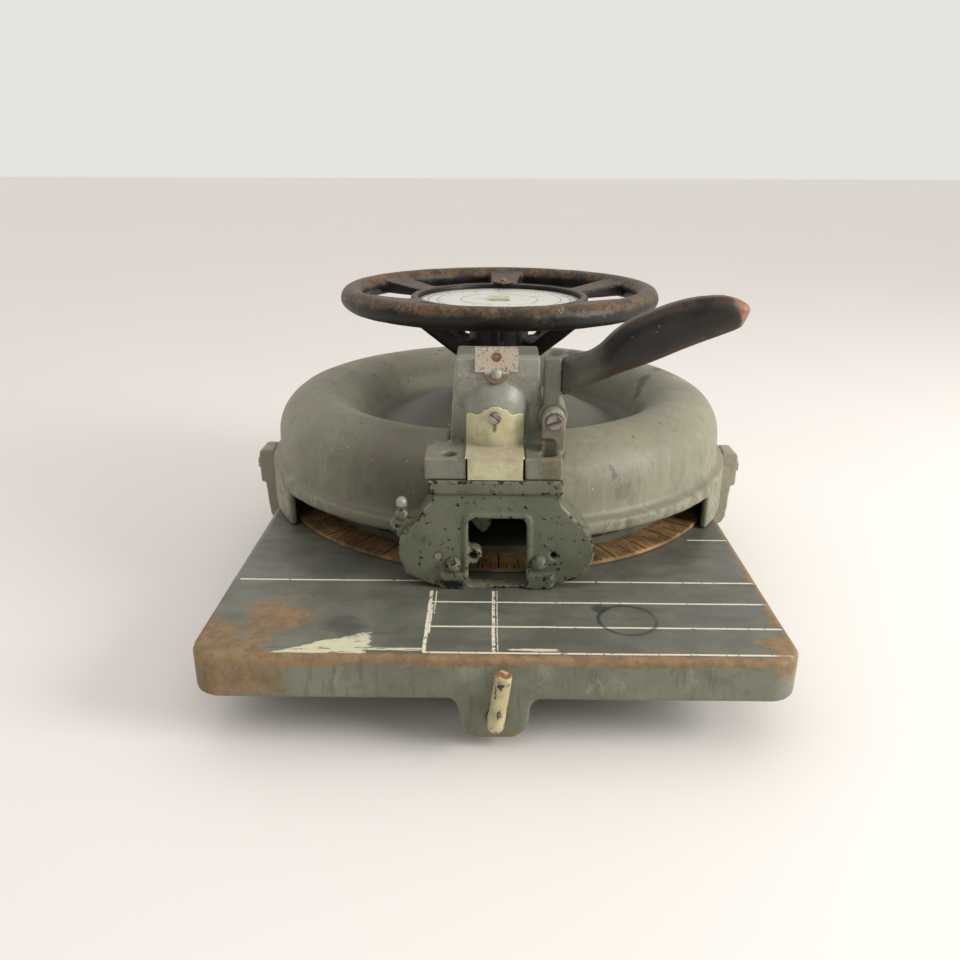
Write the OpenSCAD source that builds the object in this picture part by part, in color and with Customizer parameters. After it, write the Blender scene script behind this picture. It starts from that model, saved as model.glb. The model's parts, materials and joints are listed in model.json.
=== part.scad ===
// Worm-geared dial head: a handwheel on a vertical spindle drives a worm, a worm wheel and a
// graduated ring under a round housing. A hand lever on a front tower lifts an index plunger.
// The origin is on the handwheel axis at the flat underside. +Z is up and -Y is the lever side.

/* [Base plate] */
// Width of the base plate, left to right
plate_w = 448; // [440:1:455]
// Distance from the handwheel axis to the front edge
plate_front = 366; // [350:1:380]
// Distance from the handwheel axis to the rear edge
plate_rear = 243; // [243:1:260]
// Full height of the base plate with its skirt
plate_h = 35; // [30:1:40]
// Thickness of the deck and of the skirt
plate_wall = 12; // [8:1:14]
// Corner radius seen from above
plate_corner = 22; // [12:1:30]
// Height of the deck's top face above the underside
deck_z = 79; // [79:1:84]

/* [Round housing] */
// Outer radius of the lower skirt
skirt_r = 241; // [238:1:243]
// Height of the skirt
skirt_h = 49; // [46:1:52]
// Height of the crest above the deck
crest_z = 115; // [112:1:118]
// Radius of the circle that runs along the crest
crest_r = 190; // [186:1:192]
// Radius of the rounded crest in section
crest_round = 42; // [40:1:44]
// Wall thickness of the housing
housing_wall = 7; // [6:1:8]

/* [Handwheel] */
// Radius of the rim's centre line
rim_r = 151.5; // [148:0.5:152]
// Radius of the rim in section
rim_round = 11; // [10:0.5:13]
// Height of the rim's centre above the deck
rim_z = 207; // [205:0.5:208]
// Number of arms
arm_count = 6; // [4:1:8]
// Angle of the whole handwheel at rest
wheel_turn = -3.6; // [-10:0.1:10]

/* [Worm gear pair] */
// Module of the worm and the worm wheel
gear_m = 2.5; // [2.5:0.5:2.5]
// Number of teeth on the worm wheel
wheel_teeth = 20; // [20:1:20]
// Pitch radius of the worm
worm_pitch_r = 15.5; // [15:0.5:16]
// Height of the worm wheel's axis, measured down from the deck
gear_drop = 42; // [41:1:43]

/* [Graduated ring] */
// Outer radius of the graduated ring
ring_r = 229; // [225:1:230]
// Width of the graduated ring
ring_w = 43; // [40:1:46]

/* [Tower and lever] */
// Height of the tower's top above the deck
tower_top = 188; // [187:1:190]
// Radius of the tower's plunger barrel
barrel_r = 28; // [27:0.5:29]
// Height of the lever's pivot above the deck
pivot_z = 140.5; // [139:0.5:142]

/* [Hidden] */
$fn = 64;

// Clearances: between pieces of one body, between moving faces, and in a running fit
seat_gap = 0.2;
move_gap = 0.5;
run_gap = 0.05;

green = [0.43, 0.45, 0.41];
cream = [0.80, 0.76, 0.57];
rust = [0.50, 0.36, 0.24];
black_paint = [0.10, 0.10, 0.10];
steel = [0.62, 0.61, 0.58];
bronze = [0.66, 0.50, 0.28];

// The plate's middle lies a little left of the handwheel axis
plate_x = -4;
lug_y = -19;

// Heights above the deck
window_z = 36;
neck_top = 141.5;
hub_bottom = 146.5;
hub_top = 190;
arm_top = 207;
dial_z = 200;
flange_z = 96.5;
flange_top = 114.5;
cover_top = 151;

// Radii of the spindle and its hollow
spindle_r = 14;
spindle_low_r = 10;
post_r = 6;
post_bore_r = 6.1;
dial_r = 83;

// Worm gear pair
worm_lead = PI * gear_m;
worm_turns = 5;
worm_len = worm_turns * worm_lead;
worm_tip_r = worm_pitch_r + gear_m;
worm_root_r = worm_pitch_r - 1.2 * gear_m;
wheel_pitch_r = gear_m * wheel_teeth / 2;
wheel_tip_r = wheel_pitch_r + gear_m;
wheel_root_r = wheel_pitch_r - 1.24 * gear_m;
wheel_x = worm_pitch_r + wheel_pitch_r;
wheel_face = 16;
worm_tooth = 3.2;
wheel_tooth = 2.7;
pressure = 20;
shaft_r = 10;
shaft_end_y = 150;
// Notch in the rear skirt that a coupling on the output shaft passes through
coupling_gap_r = 26;
stub_len = 40;
stub_r = 9;

// Gear case under the deck
case_x0 = -28;
case_x1 = 78;
case_y = 40;
case_wall = 7;
foot_t = 8;
foot_x = 90;
foot_front = -150;
foot_rear = 110;

// Tower axis, lever pivot and plunger
barrel_x = -4;
barrel_y = -205;
bracket_front = -257;
pivot_x = 43;
crank_y = -206;
plunger_r = 11;
plunger_rise = 12;
cavity_r = 17;
dome_z = 148.5;
cavity_z0 = 128;
cavity_z1 = 180;
spring_seat_z = 157;

// Latch pin in the tongue of the base plate
latch_x = -2.5;
latch_z = -49;
latch_r = 6.35;
latch_lean = 7;

// Rivets through the grip and the lever's tang, in X and Z
rivets = [[66, 174], [84, 187]];

module above_deck(z = 0) { translate([0, 0, deck_z + z]) children(); }

// A cylinder along +Y that starts at the point given
module along_y(x, y, z, len, r) {
  translate([x, y, z]) rotate([-90, 0, 0]) cylinder(h = len, r = r);
}

// A flat outline in X and Z, thickened from y0 to y1
module outline_xz(y0, y1) {
  translate([0, y1, 0]) rotate([90, 0, 0]) linear_extrude(height = y1 - y0) children();
}

module box_between(a, b) { translate(a) cube(b - a); }

module rounded_rect(x0, y0, x1, y1, r) {
  translate([x0 + r, y0]) square([x1 - x0 - 2 * r, y1 - y0]);
  translate([x0, y0 + r]) square([x1 - x0, y1 - y0 - 2 * r]);
  for (x = [x0 + r, x1 - r], y = [y0 + r, y1 - r]) translate([x, y]) circle(r = r);
}

// A slotted screw head on the -Y side of the point given, with its shank going in along +Y
module slotted_screw(head_r, head_h, shank_r, shank_len, slot_angle = 0) {
  difference() {
    union() {
      along_y(0, -head_h, 0, head_h, head_r);
      along_y(0, -0.01, 0, shank_len, shank_r);
    }
    rotate([0, slot_angle, 0])
      box_between([-head_r - 1, -head_h - 1, -head_r * 0.11], [head_r + 1, -head_h * 0.55, head_r * 0.11]);
  }
}

// ---- Base plate and what is under it ----

module plate_outline(inset) {
  rounded_rect(plate_x - plate_w / 2 + inset, -plate_front + inset, plate_x + plate_w / 2 - inset,
    plate_rear - inset, plate_corner - inset / 2);
}

module tongue_outline() {
  for (x = [-13, 6]) translate([x, -52.5]) circle(r = 16);
  polygon([
    [-35, -33], [-31, -42], [-29, -52.5], [-13, -68.5], [6, -68.5],
    [22, -52.5], [23, -42], [27, -33]
  ]);
}

module base_plate() {
  color(green) above_deck() difference() {
    union() {
      difference() {
        translate([0, 0, -plate_h]) linear_extrude(height = plate_h) plate_outline(0);
        translate([0, 0, -plate_h - 1])
          linear_extrude(height = plate_h - plate_wall + 1) plate_outline(plate_wall);
      }
      outline_xz(-plate_front, -plate_front + plate_wall) tongue_outline();
    }
    along_y(latch_x, -plate_front - 1, latch_z, plate_wall + 2, latch_r + run_gap);
    translate([0, 0, -plate_wall - 1]) cylinder(h = plate_wall + 2, r = 18);
    for (x = [-195, 195]) translate([x, 215, -plate_wall - 1]) cylinder(h = plate_wall + 2, r = 5.5);
    along_y(wheel_x, plate_rear - plate_wall - 1, -gear_drop, plate_wall + 2, coupling_gap_r);
  }
}

module gear_case() {
  floor_z = -deck_z + foot_t;
  color(green) above_deck() difference() {
    union() {
      box_between([case_x0, -case_y, floor_z], [case_x1, case_y, -plate_wall]);
      along_y(wheel_x, -case_y - 8, -gear_drop, 2 * case_y + 16, 20);
    }
    box_between([case_x0 + case_wall, -24, floor_z - 1], [case_x1 - case_wall, 24, -plate_wall + 1]);
    along_y(wheel_x, -case_y - 9, -gear_drop, 2 * case_y + 18, 14);
    for (x = [case_x0 + 9, case_x1 - 9], y = [-case_y + 8, case_y - 8])
      translate([x, y, floor_z - 1]) cylinder(h = 21, r = 3);
  }
}

module rear_feet_plate() {
  color(green) above_deck(-deck_z) difference() {
    linear_extrude(height = foot_t) rounded_rect(-foot_x, foot_front, foot_x, foot_rear, 14);
    translate([0, 0, 3]) cylinder(h = foot_t, r = post_r);
    for (x = [-75, 75], y = [-130, 90]) translate([x, y, -1]) cylinder(h = foot_t + 2, r = 5.5);
    for (x = [case_x0 + 9, case_x1 - 9], y = [-case_y + 8, case_y - 8]) {
      translate([x, y, -1]) cylinder(h = foot_t + 2, r = 3);
      translate([x, y, -1]) cylinder(h = 5, r = 5.5);
    }
  }
}

module case_screws() {
  color(steel) above_deck(-deck_z)
    for (x = [case_x0 + 9, case_x1 - 9], y = [-case_y + 8, case_y - 8]) translate([x, y, 0.5]) {
      difference() {
        cylinder(h = 3.4, r = 5.3);
        translate([0, 0, -1]) cylinder(h = 3, r = 2.6, $fn = 6);
      }
      translate([0, 0, 3.4]) cylinder(h = 22, r = 2.95);
    }
}

// ---- Round housing ----

module housing_section(t) {
  // The band that t takes off every face leaves the hollow of the shell
  low = t > 0 ? -1 : 0;
  translate([0, low]) square([skirt_r - t, skirt_h - t - low]);
  translate([crest_r, crest_z - crest_round]) circle(r = crest_round - t);
  polygon([
    [0, low], [skirt_r - 8 - t, low], [skirt_r - 8 - t, skirt_h + 1],
    [skirt_r - 9 - t, crest_z - crest_round], [crest_r, crest_z - crest_round + 20],
    [154 + t * 0.8, 94 - t * 0.6], [144, 74 - t], [135, 69 - t], [124, 73 - t],
    [88, 91 - t], [54, 103 - t], [42, 108 - t], [0, 108 - t]
  ]);
}

module ring_sector(r0, r1, h, a0, a1) {
  rotate([0, 0, a0]) rotate_extrude(angle = a1 - a0) translate([r0, 0]) square([r1 - r0, h]);
}

// Room that the tower and its flange take out of the housing
module tower_seat() {
  box_between([-56 - seat_gap, -262, flange_z - seat_gap], [50 + seat_gap, -210 + seat_gap, 200]);
  box_between([-42 - seat_gap, -262, 60], [38.5 + seat_gap, -172 + seat_gap, 200]);
  box_between([24, -262, flange_z - seat_gap], [51 + seat_gap, -186 + seat_gap, 200]);
}

module dish_housing() {
  color(green) above_deck() difference() {
    union() {
      difference() {
        union() {
          rotate_extrude() housing_section(0);
          translate([0, 0, skirt_h - 11]) ring_sector(skirt_r - 4, skirt_r + 3, 11, -147, -33);
        }
        difference() {
          rotate_extrude() housing_section(housing_wall);
          translate([0, 0, 60]) cylinder(h = 60, r = 30);
        }
      }
      translate([0, 0, 90]) cylinder(h = neck_top - 90, r = 31);
    }
    translate([0, 0, -1]) ring_sector(skirt_r - 30, skirt_r + 10, window_z + 1, -147, -33);
    translate([0, 0, 50]) cylinder(h = 120, r = 19);
    translate([0, 0, 50]) cylinder(h = 55, r = 24);
    box_between([-30, -262, -1], [26, -195, 66]);
    translate([-58, -262, 60]) cube([109.2, 28, 60]);
    tower_seat();
  }
}

// Clamp lugs that hold the housing to the plate's edges. plate_edge is the edge's distance from x = 0
module side_lug(plate_edge) {
  y0 = lug_y - 15;
  y1 = lug_y + 15;
  difference() {
    outline_xz(y0, y1) {
      translate([skirt_r - 5, 10]) square([20, 30]);
      translate([skirt_r - 5, 36]) square([14, 11]);
      translate([250, 41]) circle(r = 6);
      polygon([[236, 12], [251.5, 12], [249, -26], [246, -32.5], [242, -35], [236, -34]]);
      translate([plate_edge + seat_gap, -34]) square([240 - plate_edge, 14]);
    }
    translate([0, 0, -1]) cylinder(h = 80, r = skirt_r + seat_gap);
    translate([plate_edge, lug_y, -27]) rotate([0, 90, 0]) cylinder(h = 60, r = 3);
    translate([skirt_r - 12, lug_y, 28]) rotate([0, 90, 0]) cylinder(h = 40, r = 3.5);
  }
}

module left_side_lug() { color(green) above_deck() mirror([1, 0, 0]) side_lug(plate_w / 2 - plate_x); }

module right_side_lug() { color(green) above_deck() side_lug(plate_w / 2 + plate_x); }

module lug_screws() {
  color(steel) above_deck() for (m = [0, 1]) mirror([m, 0, 0])
    translate([256, lug_y, 28]) rotate([0, 0, 90])
      difference() {
        union() {
          along_y(0, -4, 0, 4, 6);
          along_y(0, -0.01, 0, 13.5, 3.4);
        }
        box_between([-7, -5, -0.8], [7, -2.2, 0.8]);
      }
}

// ---- Front bracket ----

module bracket_outline() {
  translate([-55, 34]) circle(r = 28.6);
  translate([49.8, 34]) circle(r = 28.6);
  polygon([
    [-55.5, 2], [-44, 0], [40, 0], [45.5, 2.6], [70, 14], [72, 52], [60, 64],
    [49.5, 76], [49.5, 86], [-54.5, 86], [-54.5, 79], [-61, 72], [-68, 60],
    [-80, 48], [-78.8, 13.5]
  ]);
}

module bracket_opening(grow) {
  x0 = -25.7 - grow;
  x1 = 22.3 + grow;
  z1 = 63.7 + grow;
  translate([x0, 2.4]) square([x1 - x0, z1 - 9.4]);
  translate([x0 + 7, 2.4]) square([x1 - x0 - 14, z1 - 2.4]);
  for (x = [x0 + 7, x1 - 7]) translate([x, z1 - 7]) circle(r = 7);
}

module bracket_body() {
  outline_xz(bracket_front, -222) difference() {
    bracket_outline();
    bracket_opening(0);
  }
  outline_xz(bracket_front - 1.6, bracket_front + 1) difference() {
    bracket_opening(3.6);
    bracket_opening(0);
    translate([-40, -1]) square([80, 13]);
  }
  box_between([-48.7, bracket_front - 2.5, 0], [-26.2, bracket_front + 4, 13.8]);
  box_between([22.8, bracket_front - 2.5, 0], [44.7, bracket_front + 4, 13.8]);
  box_between([-57.5, bracket_front - 2.2, 84.8], [50.5, -222, flange_z - 0.2]);
  along_y(-21.7, bracket_front + 1, 29.3, 12, 7.5);
  outline_xz(bracket_front + 4, bracket_front + 12) {
    translate([-83.5, 56]) circle(r = 6.5);
    polygon([[-89, 52], [-86, 61], [-70, 60], [-74, 40], [-83, 44]]);
  }
  along_y(-80, bracket_front + 1, 66, 12, 5);
}

module front_bracket() {
  color(green) above_deck() difference() {
    bracket_body();
    cylinder(h = skirt_h + seat_gap, r = skirt_r + 3.3);
    translate([0, 0, 36]) cylinder(h = 80, r = skirt_r - 8 + seat_gap);
    translate([0, 0, -1]) cylinder(h = 3, r = skirt_r + 6);
    along_y(-21.7, bracket_front - 5, 29.3, 40, 3.5);
    along_y(45, bracket_front - 1, 30.3, 13, 3);
    along_y(-50.6, bracket_front - 1, 29.4, 13, 3);
    for (p = [[-37.8, 22.4], [33.2, 24.5]])
      along_y(p[0], bracket_front - 4, p[1], 14, 4);
    along_y(-84.5, bracket_front, 54, 20, 1.8);
    translate([-80, bracket_front + 7, 50]) cylinder(h = 40, r = 2.5);
    for (x = [-41.7, 38.3]) translate([x, -243, 80]) cylinder(h = 20, r = 7);
    box_between([-24, bracket_front - 3, 0.8], [-8, bracket_front + 4, 3]);
  }
}

module bracket_studs() {
  color(green) above_deck() for (p = [[-37.8, 22.4], [33.2, 24.5]]) translate([p[0], bracket_front, p[1]]) {
    along_y(0, -2, 0, 2 - seat_gap / 2, 6.6);
    along_y(0, -4, 0, 13, 3.9);
    intersection() {
      translate([0, -2, 0]) sphere(r = 6.6);
      box_between([-8, -10, -8], [8, -2, 8]);
    }
  }
}

module blanking_plug() {
  color(green) above_deck() along_y(-50.6, bracket_front - 0.4, 29.4, 10, 2.95);
}

module lug_pin() {
  color(steel) above_deck() translate([-80, bracket_front + 7, 60]) {
    cylinder(h = 11, r = 2.4);
    translate([0, 0, 11]) cylinder(h = 4, r = 4.6);
    intersection() {
      translate([0, 0, 15]) sphere(r = 4.6);
      translate([-6, -6, 15]) cube([12, 12, 8]);
    }
  }
}

// ---- Tower ----

module tower_solid() {
  for (b = [[-60.5, -27], [19.6, 49.8]])
    box_between([b[0], bracket_front, flange_z], [b[1], -220, flange_top]);
  for (b = [[-55.3, -27], [19.6, 49.4]])
    box_between([b[0], -230, flange_z], [b[1], -210, flange_top]);
  box_between([-41.5, -215, flange_z], [38, -172, flange_top]);
  outline_xz(-215, -172) polygon([
    [-41.5, flange_z], [38, flange_z], [38, 120], [34, 160], [31.5, tower_top],
    [-36, tower_top], [-39, 160], [-41.5, 120]
  ]);
  // Head of the tower, whose front slopes back to the barrel below the stamp plate
  translate([-36, 0, 0]) rotate([90, 0, 90]) linear_extrude(height = 67.5)
    polygon([[-226, 174], [-226, tower_top], [-187, tower_top], [-187, 148], [-216, 148]]);
  translate([barrel_x, barrel_y, flange_z]) cylinder(h = dome_z - flange_z, r = barrel_r);
  translate([barrel_x, barrel_y, dome_z]) sphere(r = barrel_r);
  // Ears of the lever's pivot: one in front of the lever and one behind it
  along_y(pivot_x, -240, pivot_z, 14, 9.5);
  box_between([pivot_x - 9.5, -240, flange_top - 1], [pivot_x + 9.5, -226, pivot_z]);
  along_y(pivot_x, -215, pivot_z, 28, 12);
  box_between([30, -215, flange_z + 2], [pivot_x + 8, -187, pivot_z]);
}

module tower() {
  color(green) above_deck() difference() {
    tower_solid();
    translate([barrel_x, barrel_y, flange_z - 1]) cylinder(h = 60, r = plunger_r + run_gap);
    translate([barrel_x, barrel_y, cavity_z0]) cylinder(h = tower_top - cavity_z0 + 1, r = cavity_r);
    // Slot for the crank, open to the right
    box_between([barrel_x, crank_y - 5, 120], [70, crank_y + 5, 166]);
    along_y(pivot_x, -241, pivot_z, 60, 6 + run_gap);
    // Window in the barrel behind the cover, which takes the plunger's tooth
    box_between([-22, -240, flange_z - 1], [14, barrel_y - 6, cavity_z0 - 4]);
    for (x = [-41.7, 38.3]) translate([x, -243, flange_z - 1]) cylinder(h = 30, r = 7);
    along_y(-4.3, -240, 142, 20, 2.5);
    along_y(-3.7, -230, 176, 12, 2.5);
  }
}

module barrel_cap() {
  color(green) above_deck() translate([barrel_x, barrel_y, cavity_z1]) {
    cylinder(h = tower_top - cavity_z1, r = cavity_r - seat_gap / 2);
  }
}

module cover_outline() {
  difference() {
    union() {
      translate([-25, flange_top]) square([41.4, 29]);
      translate([-28, flange_top]) square([47.4, 25.5]);
      for (x = [-24.5, 15.9]) translate([x, flange_top + 25.5]) circle(r = 3.5);
      polygon([[-21, 143], [12.4, 143], [3.5, 148.5], [-12.1, 148.5]]);
      translate([-4.3, 141.5]) circle(r = 9.5);
    }
    for (x = [-20, 11.4]) translate([x, 149.5]) circle(r = 6.2);
  }
}

module tower_cover() {
  sheet = 1.4;
  out = bracket_front - sheet - seat_gap;
  color(cream) above_deck() difference() {
    union() {
      intersection() {
        outline_xz(-245, -205) cover_outline();
        translate([barrel_x, barrel_y, 100]) difference() {
          cylinder(h = 60, r = barrel_r + seat_gap + sheet);
          translate([0, 0, -1]) cylinder(h = 62, r = barrel_r + seat_gap);
        }
      }
      difference() {
        box_between([-28, out, flange_top + seat_gap], [19.4, -206, flange_top + seat_gap + sheet]);
        translate([barrel_x, barrel_y, 100]) cylinder(h = 30, r = barrel_r + seat_gap);
      }
      box_between([-26, out, 97], [18, out + sheet, flange_top + seat_gap + sheet]);
    }
    along_y(-4.3, -240, 142, 20, 2.6);
  }
}

module cover_screw() {
  color(rust) above_deck()
    translate([-4.3, barrel_y - barrel_r - seat_gap - 1.5, 142]) slotted_screw(5, 2.8, 2.4, 9, 40);
}

module stamp_plate() {
  color(rust) above_deck() outline_xz(-228.4, -226.1) difference() {
    union() {
      translate([-21.4, 177.5]) square([35.3, 20.5]);
      translate([-3.7, 178]) circle(r = 10);
    }
    translate([-3.6, 190]) circle(r = 2);
    translate([-3.7, 176]) circle(r = 2.5);
  }
}

module stamp_plate_screw() {
  color(rust) above_deck() translate([-3.7, -228.5, 176]) {
    along_y(0, 0, 0, 5, 2.4);
    intersection() {
      translate([0, 5.6, 0]) sphere(r = 7.4);
      box_between([-8, -4, -8], [8, 0, 8]);
    }
  }
}

// ---- Spindle and what turns with the handwheel ----

module bush(z0, z1, r_in, r_out, flange_r, flange_t) {
  above_deck() difference() {
    union() {
      translate([0, 0, z0]) cylinder(h = z1 - z0, r = r_out);
      translate([0, 0, z1 - flange_t]) cylinder(h = flange_t, r = flange_r);
    }
    translate([0, 0, z0 - 1]) cylinder(h = z1 - z0 + 2, r = r_in);
  }
}

module spindle_bush() {
  color(bronze) bush(106, neck_top + 2, spindle_r + run_gap, 18.9, 27, 1.9);
}

module deck_bush() {
  color(bronze) bush(-17, 2.6, spindle_r + run_gap, 17.9, 24, 2.4);
}

module floor_bush() {
  color(bronze) bush(-deck_z + foot_t + 0.2, -64.5, spindle_low_r + run_gap, 15, 15, 1);
}

module dial_post() {
  color(steel) above_deck() difference() {
    union() {
      translate([0, 0, 3.1 - deck_z]) cylinder(h = dial_z + deck_z - 3.1, r = post_r - 0.02);
      translate([0, 0, dial_z - 3]) cylinder(h = 3, r = 24);
    }
    translate([0, 0, dial_z - 8]) cylinder(h = 9, r = 3);
  }
}

module dial_plate() {
  color([0.84, 0.84, 0.80]) above_deck(dial_z + 0.02) difference() {
    cylinder(h = 2, r = dial_r);
    translate([0, 0, -1]) cylinder(h = 4, r = 3);
  }
}

module dial_cap() {
  color(cream) above_deck(dial_z) {
    translate([0, 0, -2.9]) cylinder(h = 6, r = 2.9);
    translate([-11, -9, 2.1]) cube([22, 18, 2.4]);
    translate([0, 0, 4.4]) cylinder(h = 1.2, r = 6);
  }
}

// One flat arm from the dial's ring up to the rim, and the strut that carries it down to the hub
module wheel_arm() {
  intersection() {
    translate([0, 0, arm_top - 9]) linear_extrude(height = 20)
      polygon([[88, -14], [148, -19], [148, 19], [88, 14]]);
    rotate([90, 0, 0]) translate([0, 0, -20]) linear_extrude(height = 40)
      polygon([[88, 198], [149, 200], [149, 216], [138, 213], [97, arm_top], [88, arm_top]]);
  }
  rotate([90, 0, 0]) translate([0, 0, -4.5]) linear_extrude(height = 9)
    polygon([
      [20, hub_bottom + 5], [28, hub_bottom], [48, hub_bottom], [107, 194], [107, 203],
      [93, 203], [88, 198.5], [44, 162], [31, 162], [20, 162]
    ]);
}

module handwheel() {
  color(black_paint) above_deck() rotate([0, 0, wheel_turn]) difference() {
    union() {
      translate([0, 0, rim_z]) rotate_extrude() translate([rim_r, 0]) circle(r = rim_round);
      rotate_extrude() polygon([
        [dial_r + 1.2, arm_top - 11], [dial_r + 8.5, arm_top - 11], [dial_r + 8.5, arm_top - 0.6],
        [dial_r + 7, arm_top + 0.4], [dial_r + 2.5, arm_top + 0.4], [dial_r + 1.2, arm_top - 0.6]
      ]);
      for (i = [0 : arm_count - 1]) rotate([0, 0, 90 + i * 360 / arm_count]) wheel_arm();
      translate([0, 0, hub_bottom]) cylinder(h = hub_top - hub_bottom, r = 31);
    }
    translate([0, 0, hub_bottom - 1]) cylinder(h = 60, r = spindle_r + 0.02);
    translate([-3, 0, hub_bottom - 1]) cube([6, spindle_r + 3.1, 60]);
    rotate([0, 0, 90]) translate([dial_r + 8, 0, arm_top - 8]) cylinder(h = 12, r = 1.6);
  }
}

module wheel_pointer() {
  color(rust) above_deck(arm_top + 0.45) rotate([0, 0, wheel_turn]) linear_extrude(height = 2) difference() {
    polygon([[-10, dial_r + 12], [-12, dial_r + 3], [0, dial_r - 10], [12, dial_r + 3], [10, dial_r + 12]]);
    translate([0, dial_r + 8]) circle(r = 1.6);
  }
}

module pointer_screw() {
  color(steel) above_deck() rotate([0, 0, wheel_turn]) translate([0, dial_r + 8, arm_top + 2.5]) {
    translate([0, 0, -9]) cylinder(h = 9.1, r = 1.5);
    difference() {
      cylinder(h = 1.8, r = 3.4);
      translate([-4, -0.4, 0.8]) cube([8, 0.8, 2]);
    }
  }
}

module spindle() {
  color(steel) above_deck() difference() {
    union() {
      translate([0, 0, -19]) cylinder(h = 215, r = spindle_r);
      translate([0, 0, -deck_z + foot_t + 0.5]) cylinder(h = 60, r = spindle_low_r);
    }
    translate([0, 0, -deck_z]) cylinder(h = 290, r = post_bore_r);
    rotate([0, 0, wheel_turn]) translate([-3, spindle_r - 3.1, hub_bottom + 4]) cube([6, 6, 34]);
    translate([-2.5, spindle_low_r - 2.1, -gear_drop - 12]) cube([5, 5, 24]);
  }
}

module wheel_key() {
  color(steel) above_deck() rotate([0, 0, wheel_turn])
    translate([-2.95, spindle_r - 3, hub_bottom + 4.1]) cube([5.9, 6, 33.8]);
}

module wheel_nut() {
  color(steel) above_deck(hub_top + 0.1) difference() {
    cylinder(h = 5.6, r = 22, $fn = 6);
    translate([0, 0, -1]) cylinder(h = 8, r = spindle_r + 0.02);
  }
}

module thrust_washer() {
  color(bronze) above_deck(neck_top + 2 + 0.3) difference() {
    cylinder(h = hub_bottom - neck_top - 2.5, r = 26);
    translate([0, 0, -1]) cylinder(h = 6, r = spindle_r + 0.02);
  }
}

// One thread as a trapezium swept along the helix, its foot sunk a little into the core
module worm_thread() {
  steps = 18;
  last = worm_turns * steps;
  foot_r = worm_root_r - 1;
  slope = tan(pressure);
  half_tip = worm_tooth / 2 - gear_m * slope;
  half_foot = worm_tooth / 2 + (worm_pitch_r - foot_r) * slope;
  section = [[foot_r, -half_foot], [worm_tip_r, -half_tip], [worm_tip_r, half_tip], [foot_r, half_foot]];
  points = [for (i = [0 : last], p = section) let (a = i * 360 / steps)
    [p[0] * cos(a), p[0] * sin(a), p[1] + worm_len * (i / last - 0.5)]];
  sides = [for (i = [0 : last - 1], j = [0 : 3], half = [0, 1])
    let (k = (j + 1) % 4, a = 4 * i + j, b = 4 * i + k, c = 4 * i + 4 + k, d = 4 * i + 4 + j)
    half == 0 ? [a, b, c] : [a, c, d]];
  ends = [[3, 2, 1, 0], [for (j = [0 : 3]) 4 * last + j]];
  polyhedron(points = points, faces = concat(sides, ends));
}

module worm() {
  core_len = worm_len + 4;
  color(steel) above_deck(-gear_drop) difference() {
    union() {
      worm_thread();
      translate([0, 0, -core_len / 2]) cylinder(h = core_len, r = worm_root_r);
    }
    translate([0, 0, -worm_len]) cylinder(h = 2 * worm_len, r = spindle_low_r + 0.02);
    translate([-2.5, 0, -13]) cube([5, spindle_low_r + 1.6, 26]);
    for (z = [core_len / 2, -core_len / 2 - 9]) translate([0, 0, z]) cylinder(h = 9, r = worm_tip_r + 2);
  }
}

module worm_key() {
  color(steel) above_deck()
    translate([-2.45, spindle_low_r - 2, -gear_drop - 11.9]) cube([4.9, 3.4, 23.8]);
}

module worm_collar() {
  color(steel) above_deck(-19.9) difference() {
    cylinder(h = 0.9 + 1.6, r = 17);
    translate([0, 0, -1]) cylinder(h = 5, r = spindle_r + 0.02);
  }
}

module graduated_ring() {
  color(rust) above_deck(1.2) difference() {
    cylinder(h = 3.6, r = ring_r);
    translate([0, 0, -1]) cylinder(h = 6, r = ring_r - ring_w);
    for (i = [0 : 5]) rotate([0, 0, i * 60]) translate([ring_r - ring_w + 7, 0, -1]) cylinder(h = 6, r = 2.5);
  }
}

module ring_spider() {
  hub_r = 34;
  color(green) above_deck(4.9) difference() {
    union() {
      cylinder(h = 26, r = hub_r);
      cylinder(h = 7, r = 60);
      for (i = [0 : 5]) rotate([0, 0, i * 60]) translate([30, -15, 0]) cube([ring_r - ring_w - 20, 30, 7]);
      difference() {
        cylinder(h = 7, r = ring_r - ring_w + 12);
        translate([0, 0, -1]) cylinder(h = 9, r = ring_r - ring_w - 14);
      }
    }
    translate([0, 0, -1]) cylinder(h = 40, r = spindle_r + 0.02);
    for (i = [0 : 5]) rotate([0, 0, i * 60]) translate([ring_r - ring_w + 7, 0, -1]) cylinder(h = 9, r = 2.5);
  }
}

module ring_screws() {
  color(steel) above_deck(11.95) for (i = [0 : 5]) rotate([0, 0, i * 60])
    translate([ring_r - ring_w + 7, 0, 0]) {
      translate([0, 0, -10]) cylinder(h = 10.01, r = 2.4);
      difference() {
        cylinder(h = 3, r = 4.2);
        translate([-5, -0.5, 1.8]) cube([10, 1, 2]);
      }
    }
}

// ---- Worm wheel and output shaft ----

base_r = wheel_pitch_r * cos(pressure);
function involute_angle(r) = let (t = acos(min(1, base_r / r))) tan(t) * 180 / PI - t;
function half_tooth(r) = 90 * wheel_tooth / (PI * wheel_pitch_r)
  + involute_angle(wheel_pitch_r) - involute_angle(max(r, base_r));

// Points of one tooth, from the foot of one flank over the tip to the foot of the other
tooth_radii = [for (i = [0 : 5]) base_r + (wheel_tip_r - base_r) * i / 5];
function flank_point(r, side) = r * [cos(half_tooth(r)), side * sin(half_tooth(r))];
tooth_points = concat(
  [wheel_root_r / base_r * flank_point(base_r, -1)],
  [for (r = tooth_radii) flank_point(r, -1)],
  [for (i = [5 : -1 : 0]) flank_point(tooth_radii[i], 1)],
  [wheel_root_r / base_r * flank_point(base_r, 1)]
);
function turned(p, a) = [p[0] * cos(a) - p[1] * sin(a), p[0] * sin(a) + p[1] * cos(a)];

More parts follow.
